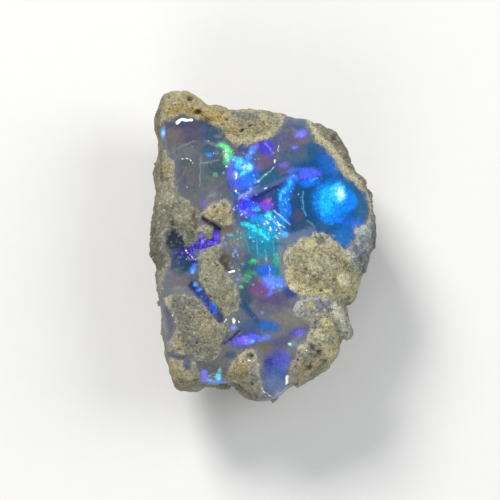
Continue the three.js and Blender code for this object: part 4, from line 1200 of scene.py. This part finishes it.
@dataclass
class Relief:
    """How far the skin stands out from the plain solid, in mm."""

    skin: Skin
    rock: Array  # distance inside the rock
    rock_rise: float = 0.07  # the rock stands this far over the glass
    face_heights: Band = (7.5, 9.5)  # the walls' rough breaks give way to the face between these
    face_calm: float = 0.85  # how much of them the face lacks
    bedding: tuple[float, float, float] = (1.0, 1.0, 1.5)  # the rock breaks in flat slabs
    breaks: Facets = Facets(0.36, 2.6, 20)
    chips: Facets = Facets(1.0, 0.95, 23)
    face_chip: float = 0.04
    wall_chip: float = 0.09
    knobs: RoughLumps = RoughLumps(0.13, 1.3, 26)
    clump_height: float = 0.045
    clump_level: float = 0.6  # a clump stands up inside this share of its size, and dips outside it
    sand_height: float = 0.07
    sand_level: float = 0.5
    hollows: RoughLumps = RoughLumps(1.0, 0.5, 24, 2)
    hollow_band: Band = (0.5, 0.8)
    hollow_depth: float = 0.24
    cracks: RoughLumps = RoughLumps(1.0, 3.2, 25, 2)
    crack_width: float = 0.06
    crack_depth: float = 0.1
    swell: Lumps = Lumps(0.03, 2.6, 31)
    dimples: Lumps = Lumps(0.008, 0.4, 33)
    strike: Place = (-9.0, 3.0)  # the ripples spread from here
    ripple_height: float = 0.006
    ripple_rate: float = 7.0  # radians to a mm
    ripple_places: Lumps = Lumps(1.0, 3.0, 32)
    ripple_band: Band = (0.0, 0.5)
    glass_chips: Facets = Facets(0.02, 0.55, 35)
    chipped_places: RoughLumps = RoughLumps(1.0, 2.0, 34)
    chipped_band: Band = (0.1, 0.5)
    named_heights: Band = (6.5, 8.0)  # the named marks come in between these
    shore: Band = (-0.04, 0.14)  # distances inside the rock where the glass gives way to it

    def rocky(self) -> Array:
        """Broken faces, grains, cracks and holes of the host rock.

        Returns:
            One height for each point.
        """
        points = self.skin.points
        wall = 1.0 - self.face_calm * self.skin.upper(self.face_heights)
        broken = self.breaks.over(points * self.bedding) * wall
        chipped = (self.face_chip + self.wall_chip * wall) * self.chips.over(points)
        clumps = self.clump_height * (self.clump_level - self.skin.clumps.near)
        sand = self.sand_height * (self.sand_level - self.skin.sand.near)
        holes = -self.hollow_depth * smoothstep(*self.hollow_band, self.hollows.over(points))
        crack = -self.crack_depth * wall * smoothstep(self.crack_width, 0.0, np.abs(self.cracks.over(points)))
        return self.rock_rise + broken + chipped + self.knobs.over(points) + clumps + sand + holes + crack

    def glassy(self) -> Array:
        """Faint ripples, low steps and small chips of the broken glass.

        Returns:
            One height for each point.
        """
        points = self.skin.points
        fan = np.hypot(self.skin.marks[:, 0] - self.strike[0], self.skin.marks[:, 1] - self.strike[1])
        rippled = smoothstep(*self.ripple_band, self.ripple_places.over(points))
        ripples = self.ripple_height * np.sin(fan * self.ripple_rate) * rippled
        chipped = smoothstep(*self.chipped_band, self.chipped_places.over(points))
        chips = self.glass_chips.over(points) * chipped
        return self.swell.over(points) + ripples + chips + self.dimples.over(points)

    def named(self) -> Array:
        """The named grooves, pits and glinting edges.

        Returns:
            One height for each point.
        """
        marks = self.skin.marks
        hollow = sum(mark.lift(marks) for mark in (*GROOVES, *PITS))
        edges = np.max([glint.lift(marks) for glint in GLINTS], axis=0)
        return (hollow + edges) * self.skin.upper(self.named_heights)

    def height(self) -> Array:
        """The whole relief."""
        return blend(self.glassy(), self.rocky(), smoothstep(*self.shore, self.rock)) + self.named()


@dataclass(frozen=True)
class OddGrain:
    """A kind of grain that stands out from the sand round it."""

    drawn: Band  # grains that draw a number between these are of this kind
    colour: Display
    strength: float


@dataclass
class Colouring:
    """The colours that the skin carries, as light."""

    skin: Skin
    rock: Array  # distance inside the rock
    height: Array  # how far the skin stands out, mm

    body_dark: Display = (84, 92, 106)
    body_pale: Display = (114, 116, 120)
    clouds: RoughLumps = RoughLumps(0.5, 2.2, 41)
    haze_heights: Band = (3.0, 5.5)
    haze_crumble: RoughLumps = RoughLumps(0.45, 0.36, 44)
    haze_mottle: RoughLumps = RoughLumps(0.14, 0.7, 42)
    haze_packing: Packing = Packing(0.22, 45)
    haze_grain: float = 0.12
    warmth: RoughLumps = RoughLumps(1.0, 1.1, 46)
    warm_tint: tuple[float, float, float] = (0.07, 0.0, -0.07)
    # painted shade: the opal is darker just outside the rock's edge, in places, where the rock meets the
    # glass
    contact_shade_band: Band = (-0.18, -0.04)
    contact_shade_places: RoughLumps = RoughLumps(1.0, 1.3, 47)
    contact_shade_place_band: Band = (0.0, 0.4)
    contact_shade_strength: float = 0.5

    dust_edge: RoughLumps = RoughLumps(0.35, 0.7, 48)
    dust_fray: Lumps = Lumps(0.2, 0.2, 49)
    dust_band: Band = (-0.28, 0.04)
    dust: float = 0.36

    flash_crumble: RoughLumps = RoughLumps(0.5, 0.34, 53)
    flash_heights: Band = (4.6, 7.0)
    flash_edge: RoughLumps = RoughLumps(1.4, 1.2, 55)
    crumb_seed: int = 70
    cell_packing: Packing = Packing(0.3, 51)
    cell_shade: float = 0.78
    cell_spread: float = 0.4
    hues: RoughLumps = RoughLumps(1.0, 0.7, 54)
    hue_tint: tuple[float, float, float] = (0.1, -0.18, 0.0)
    deep_blue: Display = (24, 84, 190)
    deep_places: RoughLumps = RoughLumps(1.0, 1.9, 52)
    deep_band: Band = (0.25, 0.6)
    deep_in: Band = (1.0, 4.0)
    deep_out: Band = (7.5, 9.0)
    deep_strength: float = 0.5
    brightest: float = 1.2

    rock_tone: Display = (138, 132, 112)
    crust_band: Band = (-0.5, 0.3)
    crust_heights: Band = (3.0, 7.0)
    stain_heights: Band = (3.0, 6.0)
    stain_crumble: RoughLumps = RoughLumps(0.5, 0.5, 63)
    worn_tone: Display = (186, 186, 176)
    worn_edge: RoughLumps = RoughLumps(0.5, 0.5, 64)
    worn_band: Band = (0.6, 0.1)
    worn_heights: Band = (7.0, 9.0)
    worn: float = 0.3
    mottled: Patch = Patch((6.5, -5.0), (4.6, 9.5), edge=0.4)  # the rock here is the most mixed
    sand_shade: float = 0.97
    patches: RoughLumps = RoughLumps(1.0, 1.3, 61)
    patch_amounts: Band = (0.15, 0.31)  # on even rock and on mottled rock, as all amounts are
    clump_amounts: Band = (0.12, 0.32)
    sand_amounts: Band = (0.2, 0.3)
    dusting: Lumps = Lumps(1.0, 0.14, 65)
    dusting_amounts: Band = (0.3, 0.1)
    odd_amounts: Band = (0.6, 1.0)
    # painted shade: the sand is darker where the relief sinks, in pits and cracks
    hollow_band: Band = (0.02, -0.2)
    painted_hollow_shade: float = 0.45
    odd_grains: tuple[OddGrain, ...] = (
        OddGrain((0.93, 1.0), (214, 210, 194), 0.25),
        OddGrain((0.84, 1.0), (190, 172, 118), 0.3),
        OddGrain((0.0, 0.1), (70, 64, 52), 0.45),
    )
    draw: float = 91.0  # draws a grain's number from its mark

    @functools.cached_property
    def mixed(self) -> Array:
        """How mottled the rock is at each point, from 0 to 1."""
        return self.mottled.share(self.skin.marks)

    def _amount(self, amounts: Band) -> Array:
        """An amount for each point, from one on even rock to another on mottled rock."""
        return amounts[0] + (amounts[1] - amounts[0]) * self.mixed

    def _plain(self, display: Display) -> Array:
        """One colour at every point."""
        return np.tile(light(display), (len(self.skin.points), 1))

    def _paint(self, ground: Array, marks: Sequence[Mark], fade: Array, crumble: Array) -> Array:
        """Lays marks on a ground, one over another.

        Args:
            ground: A colour for each point.
            marks: What is laid on, in order.
            fade: How much any mark shows at each point.
            crumble: How each point shifts a mark's edge.

        Returns:
            A colour for each point.
        """
        for mark in marks:
            cover = mark.cover(self.skin.marks)
            # 1 halfway up a mark's soft edge, and 0 at both of its ends
            loose = 4.0 * cover * np.maximum(mark.strength - cover, 0.0) / mark.strength**2
            cover = np.clip(cover + crumble * loose, 0.0, 1.0)
            ground = blend(ground, light(mark.colour), cover * fade)
        return ground

    def body(self) -> Array:
        """The opal's own cloudy colour, with painted shade where it meets the rock.

        Returns:
            A colour for each point.
        """
        points = self.skin.points
        ground = blend(self._plain(self.body_dark), light(self.body_pale), 0.5 + self.clouds.over(points))
        fade = self.skin.upper(self.haze_heights)
        painted = self._paint(ground, HAZES, fade, self.haze_crumble.over(points))
        fine = self.haze_grain * (self.haze_packing.over(points).mark - 0.5)
        mottle = 1.0 + self.haze_mottle.over(points) + fine
        tint = 1.0 + self.warmth.over(points)[:, None] * self.warm_tint
        # painted shade along the rock's edge
        contact_shade = smoothstep(*self.contact_shade_band, self.rock)
        contact_shade = contact_shade * smoothstep(*self.contact_shade_place_band, self.contact_shade_places.over(points))
        return painted * tint * (mottle * (1.0 - self.contact_shade_strength * contact_shade))[:, None]

    def dusted(self, body: Array, grit: Array) -> Array:
        """The opal's body, where a thin skin of the rock's grit still clouds it."""
        reach = self.rock + self.dust_edge.over(self.skin.points) + self.dust_fray.over(self.skin.points)
        return blend(body, grit, self.dust * smoothstep(*self.dust_band, reach))

    def flash(self) -> Array:
        """The play of colour, painted as light that the surface gives off.

        Returns:
            A colour for each point, dark where there is none.
        """
        points = self.skin.points
        lit = self.skin.upper(self.flash_heights, self.flash_edge.over(points))
        painted = self._paint(self._plain((0, 0, 0)), FLASHES, lit, self.flash_crumble.over(points))
        for number, crumbs in enumerate(CRUMBS):
            painted = crumbs.lay(painted, self.skin, self.crumb_seed + number)
        cells = self.cell_shade + self.cell_spread * self.cell_packing.over(points).mark
        turn = 1.0 + self.hues.over(points)[:, None] * self.hue_tint
        wall = self.skin.upper(self.deep_in) * (1.0 - self.skin.upper(self.deep_out))
        deep = smoothstep(*self.deep_band, self.deep_places.over(points)) * wall
        painted = blend(painted, light(self.deep_blue), self.deep_strength * deep)
        return np.clip(painted * turn * cells[:, None], 0.0, self.brightest)

    def _stained(self) -> Array:
        """The host rock's larger differences of colour.

        Returns:
            A colour for each point.
        """
        points = self.skin.points
        ground = self._plain(self.rock_tone)
        for crust in CRUSTS.values():
            share = smoothstep(*self.crust_band, inside_distance(self.skin.marks, crust.outline))
            ground = blend(ground, light(crust.tone), share * self.skin.upper(self.crust_heights))
        fade = self.skin.upper(self.stain_heights)
        ground = self._paint(ground, STAINS, fade, self.stain_crumble.over(points))
        edge = smoothstep(*self.worn_band, self.rock + self.worn_edge.over(points))
        return blend(ground, light(self.worn_tone), self.worn * edge * self.skin.upper(self.worn_heights))

    def grit(self) -> Array:
        """The host rock's mottled sand, darker in its hollows as painted shade.

        Returns:
            A colour for each point.
        """
        points = self.skin.points
        coarse = self._amount(self.patch_amounts) * self.patches.over(points)
        clumped = self._amount(self.clump_amounts) * (self.skin.clumps.mark - 0.5)
        grainy = self._amount(self.sand_amounts) * (self.skin.sand.mark - 0.5)
        fine = self._amount(self.dusting_amounts) * self.dusting.over(points)
        # painted shade, darker where the relief sinks below the surface
        hollow = 1.0 - self.painted_hollow_shade * smoothstep(*self.hollow_band, self.height)
        tone = (self.sand_shade + coarse + clumped + grainy + fine) * hollow
        coloured = self._stained() * tone[:, None]
        drawn = self.skin.sand.tone(self.draw)
        bold = self._amount(self.odd_amounts)
        for grain in self.odd_grains:
            chosen = (drawn >= grain.drawn[0]) & (drawn < grain.drawn[1])
            coloured = blend(coloured, light(grain.colour), grain.strength * bold * chosen)
        return coloured


class Attribute(Enum):
    """What the skin carries for its finishes."""

    BODY = "opal_body"
    FLASH = "opal_flash_glow"
    GRIT = "rock_grit"
    ROCK = "rock_distance"
    GLINT = "painted_glint_distance"


@dataclass(frozen=True)
class Value:
    """A number that varies over a surface, written as an expression."""

    tree: "Shader"
    socket: bpy.types.NodeSocket

    def _maths(self, operation: str, first: "Operand", second: "Operand" = 0.0) -> "Value":
        """Adds one Math node."""
        return self.tree.node("ShaderNodeMath", {"operation": operation}, {0: first, 1: second})[0]

    def __add__(self, other: "Operand") -> "Value":
        """self + other."""
        return self._maths("ADD", self, other)

    __radd__ = __add__

    def __sub__(self, other: "Operand") -> "Value":
        """self - other."""
        return self._maths("SUBTRACT", self, other)

    def __rsub__(self, other: "Operand") -> "Value":
        """other - self."""
        return self._maths("SUBTRACT", other, self)

    def __mul__(self, other: "Operand") -> "Value":
        """self * other."""
        return self._maths("MULTIPLY", self, other)

    __rmul__ = __mul__

    def within(self, low: float, high: float) -> "Value":
        """A smooth climb from 0 at low to 1 at high."""
        settings = {"interpolation_type": "SMOOTHSTEP"}
        return self.tree.node("ShaderNodeMapRange", settings, {0: self, 1: low, 2: high})[0]


Operand = Union[Value, float]


class Shader:
    """The node tree of one material."""

    PLACE = 3  # the output of a coordinate node that is the position on the piece
    COLOUR = 1  # the outputs of an attribute node
    NUMBER = 2
    MIXED = (0, 6, 7)  # the inputs of a mix node: its share and two colours
    MIX = 2  # its output that is a colour

    def __init__(self, name: str) -> None:
        """Starts an empty material.

        Args:
            name: The material's name.
        """
        self.material = bpy.data.materials.new(name)
        self.material.use_nodes = True
        self.material.node_tree.nodes.clear()

    def node(self, kind: str, settings: Mapping[str, Any], inputs: Mapping[Any, Any]) -> list[Value]:
        """Adds a node.

        Args:
            kind: Its type.
            settings: Its properties, which are set first.
            inputs: The values or links of its sockets, by name or number.

        Returns:
            Its outputs, in order.
        """
        made = self.material.node_tree.nodes.new(kind)
        for key, setting in settings.items():
            setattr(made, key, setting)
        for key, given in inputs.items():
            if isinstance(given, Value):
                self.material.node_tree.links.new(given.socket, made.inputs[key])
            else:
                made.inputs[key].default_value = given
        return [Value(self, socket) for socket in made.outputs]

    def place(self) -> Value:
        """The position on the piece, in metres."""
        return self.node("ShaderNodeTexCoord", {}, {})[self.PLACE]

    def colour(self, attribute: Attribute) -> Value:
        """A colour that the skin carries."""
        return self.node("ShaderNodeAttribute", {"attribute_name": attribute.value}, {})[self.COLOUR]

    def number(self, attribute: Attribute) -> Value:
        """A number that the skin carries."""
        return self.node("ShaderNodeAttribute", {"attribute_name": attribute.value}, {})[self.NUMBER]

    def noise(self, place: Value, size: float, detail: float = 2.0, roughness: float = 0.5) -> Value:
        """Noise with lumps of this size in mm, from 0 to 1."""
        inputs = {"Vector": place, "Scale": 1.0 / (size * MM), "Detail": detail, "Roughness": roughness}
        return self.node("ShaderNodeTexNoise", {"noise_dimensions": "3D"}, inputs)[0]

    def scale(self, colour: Value, factor: Operand) -> Value:
        """A colour made lighter or darker."""
        return self.node("ShaderNodeVectorMath", {"operation": "SCALE"}, {0: colour, "Scale": factor})[0]

    def stretch(self, place: Value, factors: tuple[float, float, float]) -> Value:
        """A position with each of its axes stretched."""
        return self.node("ShaderNodeVectorMath", {"operation": "MULTIPLY"}, {0: place, 1: factors})[0]

    def mix(self, factor: Value, first: Any, second: Any) -> Value:
        """A mix of two colours."""
        inputs = dict(zip(self.MIXED, (factor, first, second)))
        return self.node("ShaderNodeMix", {"data_type": "RGBA", "clamp_factor": True}, inputs)[self.MIX]

    def bump(self, height: Value, depth: float) -> Value:
        """A normal bent by a height of this many mm."""
        inputs = {"Height": height, "Distance": depth * MM, "Strength": 1.0}
        return self.node("ShaderNodeBump", {}, inputs)[0]

    def finish(self, surface: Value) -> bpy.types.Material:
        """Links the shader to the output and hands over the material."""
        self.node("ShaderNodeOutputMaterial", {}, {"Surface": surface})
        return self.material


Tint = tuple[float, float, float, float]


@dataclass(frozen=True)
class PaintedHighlightFinish:
    """Painted highlights on raised edges, broken up finely."""

    grain: float = 0.22  # mm
    fray: float = 0.2  # how far the grain moves an edge, mm
    inset: float = 0.07
    edge: Band = (-0.03, 0.03)

    def share(self, tree: Shader, place: Value) -> Value:
        """Where a painted highlight shows, as a share from 0 to 1."""
        broken = tree.noise(place, self.grain) * self.fray - self.inset
        return 1.0 - (tree.number(Attribute.GLINT) + broken).within(*self.edge)


@dataclass(frozen=True)
class OpalFinish:
    """Cloudy glass with colour in its depth, that colour painted as glow."""

    glints: PaintedHighlightFinish = PaintedHighlightFinish()
    # the painted highlights' pale colour, and the painted glow that they give off
    painted_highlight_colour: Tint = (0.9, 0.92, 0.94, 1.0)
    painted_highlight_glow: Tint = (0.25, 0.27, 0.3, 1.0)
    speckle_size: float = 0.12  # sizes are in mm
    fibre_size: float = 0.12
    fibre_draw: tuple[float, float, float] = (1.0, 0.12, 1.0)  # the fibres run along y
    milk_size: float = 0.2
    tooth_size: float = 0.18
    flash_speckle: float = 2.2
    body_milk: float = 0.5
    body_speckle: float = 0.4
    body_fibre: float = 0.3
    gloss: float = 0.13
    gloss_tooth: float = 0.16
    weather_tooth: float = 0.5
    weather_band: Band = (-0.8, 0.25)  # distances inside the rock between which the glass grows dull
    weather: float = 0.5
    scatter: float = 0.3
    scatter_reach: tuple[float, float, float] = (0.4, 0.55, 0.8)
    index: float = 1.45
    shine: float = 0.25
    scratch: float = 0.006
    # how bright the painted glow of the flashes and highlights is
    glow: float = 0.95

    def surface(self, tree: Shader, place: Value) -> Value:
        """Builds the shader.

        Args:
            tree: The material's nodes.
            place: The position on the stone.

        Returns:
            The shader's output.
        """
        glint = self.glints.share(tree, place)
        speckle = tree.noise(place, self.speckle_size, detail=1.0) - 0.5
        fibre = tree.noise(tree.stretch(place, self.fibre_draw), self.fibre_size) - 0.5
        milk = tree.noise(place, self.milk_size, detail=3.0, roughness=0.6) - 0.5
        tooth = tree.noise(place, self.tooth_size, detail=3.0)
        flash = tree.scale(tree.colour(Attribute.FLASH), 1.0 + speckle * self.flash_speckle + fibre)
        shade = 1.0 + milk * self.body_milk + speckle * self.body_speckle + fibre * self.body_fibre
        body = tree.scale(tree.colour(Attribute.BODY), shade)
        near_rock = tree.number(Attribute.ROCK) + tooth * self.weather_tooth
        dull = near_rock.within(*self.weather_band) * self.weather
        return tree.node("ShaderNodeBsdfPrincipled", {"subsurface_method": "RANDOM_WALK"}, {
            # painted highlights laid over the body colour
            "Base Color": tree.mix(glint, body, self.painted_highlight_colour),
            "Roughness": self.gloss + tooth * self.gloss_tooth + dull,
            "IOR": self.index,
            "Specular IOR Level": self.shine,
            "Subsurface Weight": self.scatter,
            "Subsurface Radius": self.scatter_reach,
            "Subsurface Scale": MM,
            # painted glow: the play of colour and the highlights shine without a lamp
            "Emission Color": tree.mix(glint, flash, self.painted_highlight_glow),
            "Emission Strength": self.glow,
            "Normal": tree.bump(tooth, self.scratch),
        })[0]


@dataclass(frozen=True)
class RockFinish:
    """Dry sandy host rock."""

    glints: PaintedHighlightFinish = PaintedHighlightFinish()
    # the painted highlights' pale colour on the rock
    painted_highlight_tint: Tint = (0.95, 0.96, 0.97, 1.0)
    sand_size: float = 0.13  # sizes are in mm
    soil_size: float = 0.36
    pale_size: float = 0.17
    dark_size: float = 0.24
    pale_band: Band = (0.6, 0.72)
    dark_band: Band = (0.4, 0.3)
    shade: float = 0.975
    sand: float = 1.5
    soil: float = 0.8
    pale: float = 0.35
    dark: float = 0.3
    roughness: float = 0.75
    roughness_sand: float = 0.2
    index: float = 1.5
    shine: float = 0.2
    grain: float = 0.06

    def surface(self, tree: Shader, place: Value) -> Value:
        """Builds the shader.

        Args:
            tree: The material's nodes.
            place: The position on the stone.

        Returns:
            The shader's output.
        """
        sand = tree.noise(place, self.sand_size, detail=1.0) - 0.5
        soil = tree.noise(place, self.soil_size, detail=4.0, roughness=0.7) - 0.5
        pale = tree.noise(place, self.pale_size, detail=1.0).within(*self.pale_band)
        dark = tree.noise(place, self.dark_size).within(*self.dark_band)
        shade = self.shade + sand * self.sand + soil * self.soil + pale * self.pale - dark * self.dark
        dusty = tree.scale(tree.colour(Attribute.GRIT), shade)
        return tree.node("ShaderNodeBsdfPrincipled", {}, {
            # painted highlights laid over the sand
            "Base Color": tree.mix(self.glints.share(tree, place), dusty, self.painted_highlight_tint),
            "Roughness": self.roughness - sand * self.roughness_sand,
            "IOR": self.index,
            "Specular IOR Level": self.shine,
            "Normal": tree.bump(sand, self.grain),
        })[0]


@dataclass(frozen=True)
class FloorFinish:
    """A plain pale matt board."""

    colour: tuple[float, float, float] = (0.78, 0.775, 0.76)
    shade: float = 0.97  # of its darker places
    tooth_size: float = 1.4  # mm
    roughness: float = 0.7
    shine: float = 0.2

    def material(self) -> bpy.types.Material:
        """Makes the board's material.

        Returns:
            The material.
        """
        tree = Shader("pale_board")
        tooth = tree.noise(tree.place(), self.tooth_size, detail=4.0)
        pale = (*self.colour, 1.0)
        dark = (*(self.shade * channel for channel in self.colour), 1.0)
        surface = tree.node("ShaderNodeBsdfPrincipled", {}, {
            "Base Color": tree.mix(tooth, dark, pale),
            "Roughness": self.roughness,
            "Specular IOR Level": self.shine,
        })[0]
        return tree.finish(surface)


@dataclass
class RoughOpal:
    """The stone: its fine skin and its finish."""

    node: str = "rough_opal"
    slot: str = "opal_in_rock"
    splits: tuple[Place, ...] = ((0.3, 0.001), (0.25, 0.001), (0.155, 8.2))  # longest edge, lowest place, mm
    smoothing: int = 4  # rounds after each split
    foot: float = 0.001  # what is no higher than this rests on the ground, mm
    welded: float = 0.0001  # points nearer than this are one, mm
    shore_grain: float = 0.14  # the ragged edge between the two finishes, mm
    shore_fray: float = 0.24
    shore: Band = (-0.06, 0.06)
    opal: OpalFinish = OpalFinish()
    rock: RockFinish = RockFinish()

    def build(self, solid: bpy.types.Object) -> bpy.types.Object:
        """Makes the dressed stone.

        Args:
            solid: The plain solid that it replaces.

        Returns:
            The new piece, with its finish.
        """
        mesh = self._fine_mesh(solid)
        self._shape(mesh)
        piece = bpy.data.objects.new("dressed_opal", mesh)
        bpy.context.scene.collection.objects.link(piece)
        mesh.materials.append(self._finish())
        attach(piece, "root")
        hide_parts(self.node)
        LOG.info("%s: %d faces", piece.name, len(mesh.polygons))
        return piece

    @staticmethod
    def _split(work: bmesh.types.BMesh, longest: float, lowest: float) -> int:
        """Halves long edges.

        Args:
            work: The mesh.
            longest: The longest edge that stays, mm.
            lowest: Edges below this height stay, mm.

        Returns:
            How many edges were halved.
        """
        long_edges = [edge for edge in work.edges
                      if edge.verts[0].co.z + edge.verts[1].co.z > 2.0 * lowest * MM
                      and edge.calc_length() > longest * MM]
        if long_edges:
            bmesh.ops.subdivide_edges(work, edges=long_edges, cuts=1, use_grid_fill=True)
            uneven = [face for face in work.faces if len(face.verts) > 3]
            bmesh.ops.triangulate(work, faces=uneven, quad_method="SHORT_EDGE")
        return len(long_edges)

    def _smooth(self, work: bmesh.types.BMesh) -> None:
        """Smooths the skin, its foot left flat.

        Args:
            work: The mesh.
        """
        free = [vert for vert in work.verts if vert.co.z > self.foot * MM]
        axes = {"use_axis_x": True, "use_axis_y": True, "use_axis_z": True}
        for _ in range(self.smoothing):
            bmesh.ops.smooth_vert(work, verts=free, factor=0.5, **axes)

    def _fine_mesh(self, solid: bpy.types.Object) -> bpy.types.Mesh:
        """Copies the plain solid with finer triangles, its facets smoothed and its foot still flat.

        Args:
            solid: The plain solid.

        Returns:
            The new mesh.
        """
        work = bmesh.new()
        work.from_mesh(solid.data)
        bmesh.ops.remove_doubles(work, verts=work.verts[:], dist=self.welded * MM)
        for longest, lowest in self.splits:
            count = self._split(work, longest, lowest)
            self._smooth(work)
            LOG.info("halved %d edges, %d faces now", count, len(work.faces))
        bmesh.ops.recalc_face_normals(work, faces=work.faces[:])
        mesh = bpy.data.meshes.new("dressed_opal")
        work.to_mesh(mesh)
        work.free()
        return mesh

    def _shape(self, mesh: bpy.types.Mesh) -> None:
        """Raises the relief and stores what the finishes read.

        Args:
            mesh: The fine mesh.
        """
        flat = np.empty(len(mesh.vertices) * 3)
        mesh.vertices.foreach_get("co", flat)
        points = trim(flat.reshape(-1, 3) / MM)
        mesh.vertices.foreach_set("co", (points * MM).ravel())
        mesh.update()
        mesh.vertex_normals.foreach_get("vector", flat)
        skin = Skin(points, flat.reshape(-1, 3).copy())
        rock = skin.rock_distance()
        height = Relief(skin, rock).height()
        foot = points[:, 2] < self.foot
        moved = points + skin.normals * np.where(foot, 0.0, height)[:, None]
        moved[:, 2] = np.where(foot, 0.0, np.maximum(moved[:, 2], 0.0))
        mesh.vertices.foreach_set("co", (moved * MM).ravel())
        colouring = Colouring(skin, rock, height)
        grit = colouring.grit()
        self._store(mesh, Attribute.BODY, colouring.dusted(colouring.body(), grit))
        self._store(mesh, Attribute.FLASH, colouring.flash())
        self._store(mesh, Attribute.GRIT, grit)
        self._store(mesh, Attribute.ROCK, rock)
        self._store(mesh, Attribute.GLINT, skin.painted_glint_distance())
        mesh.shade_smooth()
        mesh.update()

    @staticmethod
    def _store(mesh: bpy.types.Mesh, attribute: Attribute, values: Array) -> None:
        """Keeps a number or a colour for each vertex.

        Args:
            mesh: The fine mesh.
            attribute: What it is kept as.
            values: One number or one row of three for each vertex.
        """
        wide = values.ndim == 2
        layer = mesh.attributes.new(attribute.value, "FLOAT_VECTOR" if wide else "FLOAT", "POINT")
        layer.data.foreach_set("vector" if wide else "value", values.astype(np.float32).ravel())

    def _finish(self) -> bpy.types.Material:
        """Glassy opal and matt rock on one skin, parted along a ragged edge.

        Returns:
            The material.
        """
        tree = Shader("opal_in_rock")
        place = tree.place()
        ragged = tree.noise(place, self.shore_grain, detail=3.0, roughness=0.6) * self.shore_fray
        ragged = ragged - 0.5 * self.shore_fray
        share = (tree.number(Attribute.ROCK) + ragged).within(*self.shore)
        both = {0: share, 1: self.opal.surface(tree, place), 2: self.rock.surface(tree, place)}
        return tree.finish(tree.node("ShaderNodeMixShader", {}, both)[0])


@dataclass(frozen=True)
class SoftLight:
    """A square soft light."""

    name: str
    at: tuple[float, float, float]  # metres
    size: float  # metres
    power: float  # watts
    tint: tuple[float, float, float] = (1.0, 1.0, 1.0)

    def build(self, aim: Vector) -> bpy.types.Object:
        """Hangs the light.

        Args:
            aim: What it points at.

        Returns:
            The light.
        """
        data = bpy.data.lights.new(self.name, "AREA")
        data.shape, data.size, data.energy, data.color = "SQUARE", self.size, self.power, self.tint
        lamp = bpy.data.objects.new(self.name, data)
        lamp.location = self.at
        lamp.rotation_euler = (aim - Vector(self.at)).to_track_quat("-Z", "Y").to_euler()
        bpy.context.scene.collection.objects.link(lamp)
        return lamp


@dataclass
class Studio:
    """The pale floor, the lights and the camera."""

    aim: tuple[float, float, float] = (-1.103, -1.264, TOP)  # mm
    azimuth: float = 0.0  # degrees
    elevation: float = 75.0  # degrees
    distance: float = 350.0  # mm
    lens: float = 280.0  # mm, on a sensor 36 mm wide
    sensor: float = 36.0
    nearest: float = 0.01  # metres, as are the sizes below
    lit: tuple[float, float, float] = (0.0, 0.0, 0.006)  # what the lights point at
    floor_reach: float = 1.2
    floor_drop: float = 0.00001
    sky: Tint = (0.92, 0.95, 1.0, 1.0)
    sky_strength: float = 0.33
    lights: tuple[SoftLight, ...] = (
        SoftLight("key", (-0.22, 0.32, 0.36), 0.2, 2.4, (1.0, 0.985, 0.96)),
        SoftLight("fill", (0.38, 0.05, 0.34), 0.3, 1.1, (0.96, 0.98, 1.0)),
        SoftLight("front", (-0.12, -0.42, 0.28), 0.3, 0.8),
    )

    def build(self) -> None:
        """Sets everything up round the stone."""
        self._floor()
        self._world()
        for lamp in self.lights:
            lamp.build(Vector(self.lit))
        self._camera()
        LOG.info("studio: %d lights", len(self.lights))

    def _floor(self) -> None:
        """Lays the floor just under the resting face."""
        work = bmesh.new()
        bmesh.ops.create_grid(work, x_segments=8, y_segments=8, size=self.floor_reach)
        mesh = bpy.data.meshes.new("studio_floor")
        work.to_mesh(mesh)
        work.free()
        floor = bpy.data.objects.new("studio_floor", mesh)
        floor.location.z = -self.floor_drop
        bpy.context.scene.collection.objects.link(floor)
        mesh.materials.append(FloorFinish().material())

    def _world(self) -> None:
        """Fills the sky with an even grey."""
        scene = bpy.context.scene
        scene.world = bpy.data.worlds.new("studio_sky")
        scene.world.use_nodes = True
        sky = scene.world.node_tree.nodes["Background"]
        sky.inputs["Color"].default_value = self.sky
        sky.inputs["Strength"].default_value = self.sky_strength
        scene.view_settings.view_transform = "Standard"

    def _camera(self) -> None:
        """Looks steeply down on the stone."""
        aim = Vector(self.aim) * MM
        around, up = math.radians(self.azimuth), math.radians(self.elevation)
        away = Vector((math.sin(around) * math.cos(up), -math.cos(around) * math.cos(up), math.sin(up)))
        data = bpy.data.cameras.new("camera")
        data.lens, data.sensor_width, data.clip_start = self.lens, self.sensor, self.nearest
        camera = bpy.data.objects.new("camera", data)
        camera.location = aim + away * self.distance * MM
        camera.rotation_euler = (-away).to_track_quat("-Z", "Y").to_euler()
        bpy.context.scene.collection.objects.link(camera)
        bpy.context.scene.camera = camera


def main() -> None:
    """Loads the frame, dresses the stone and sets up the studio."""
    logging.basicConfig(level=logging.INFO, format="%(name)s: %(message)s")
    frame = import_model()
    Studio().build()
    stone = RoughOpal()
    stone.build(frame["nodes"][stone.node])


if __name__ == "__main__":
    main()
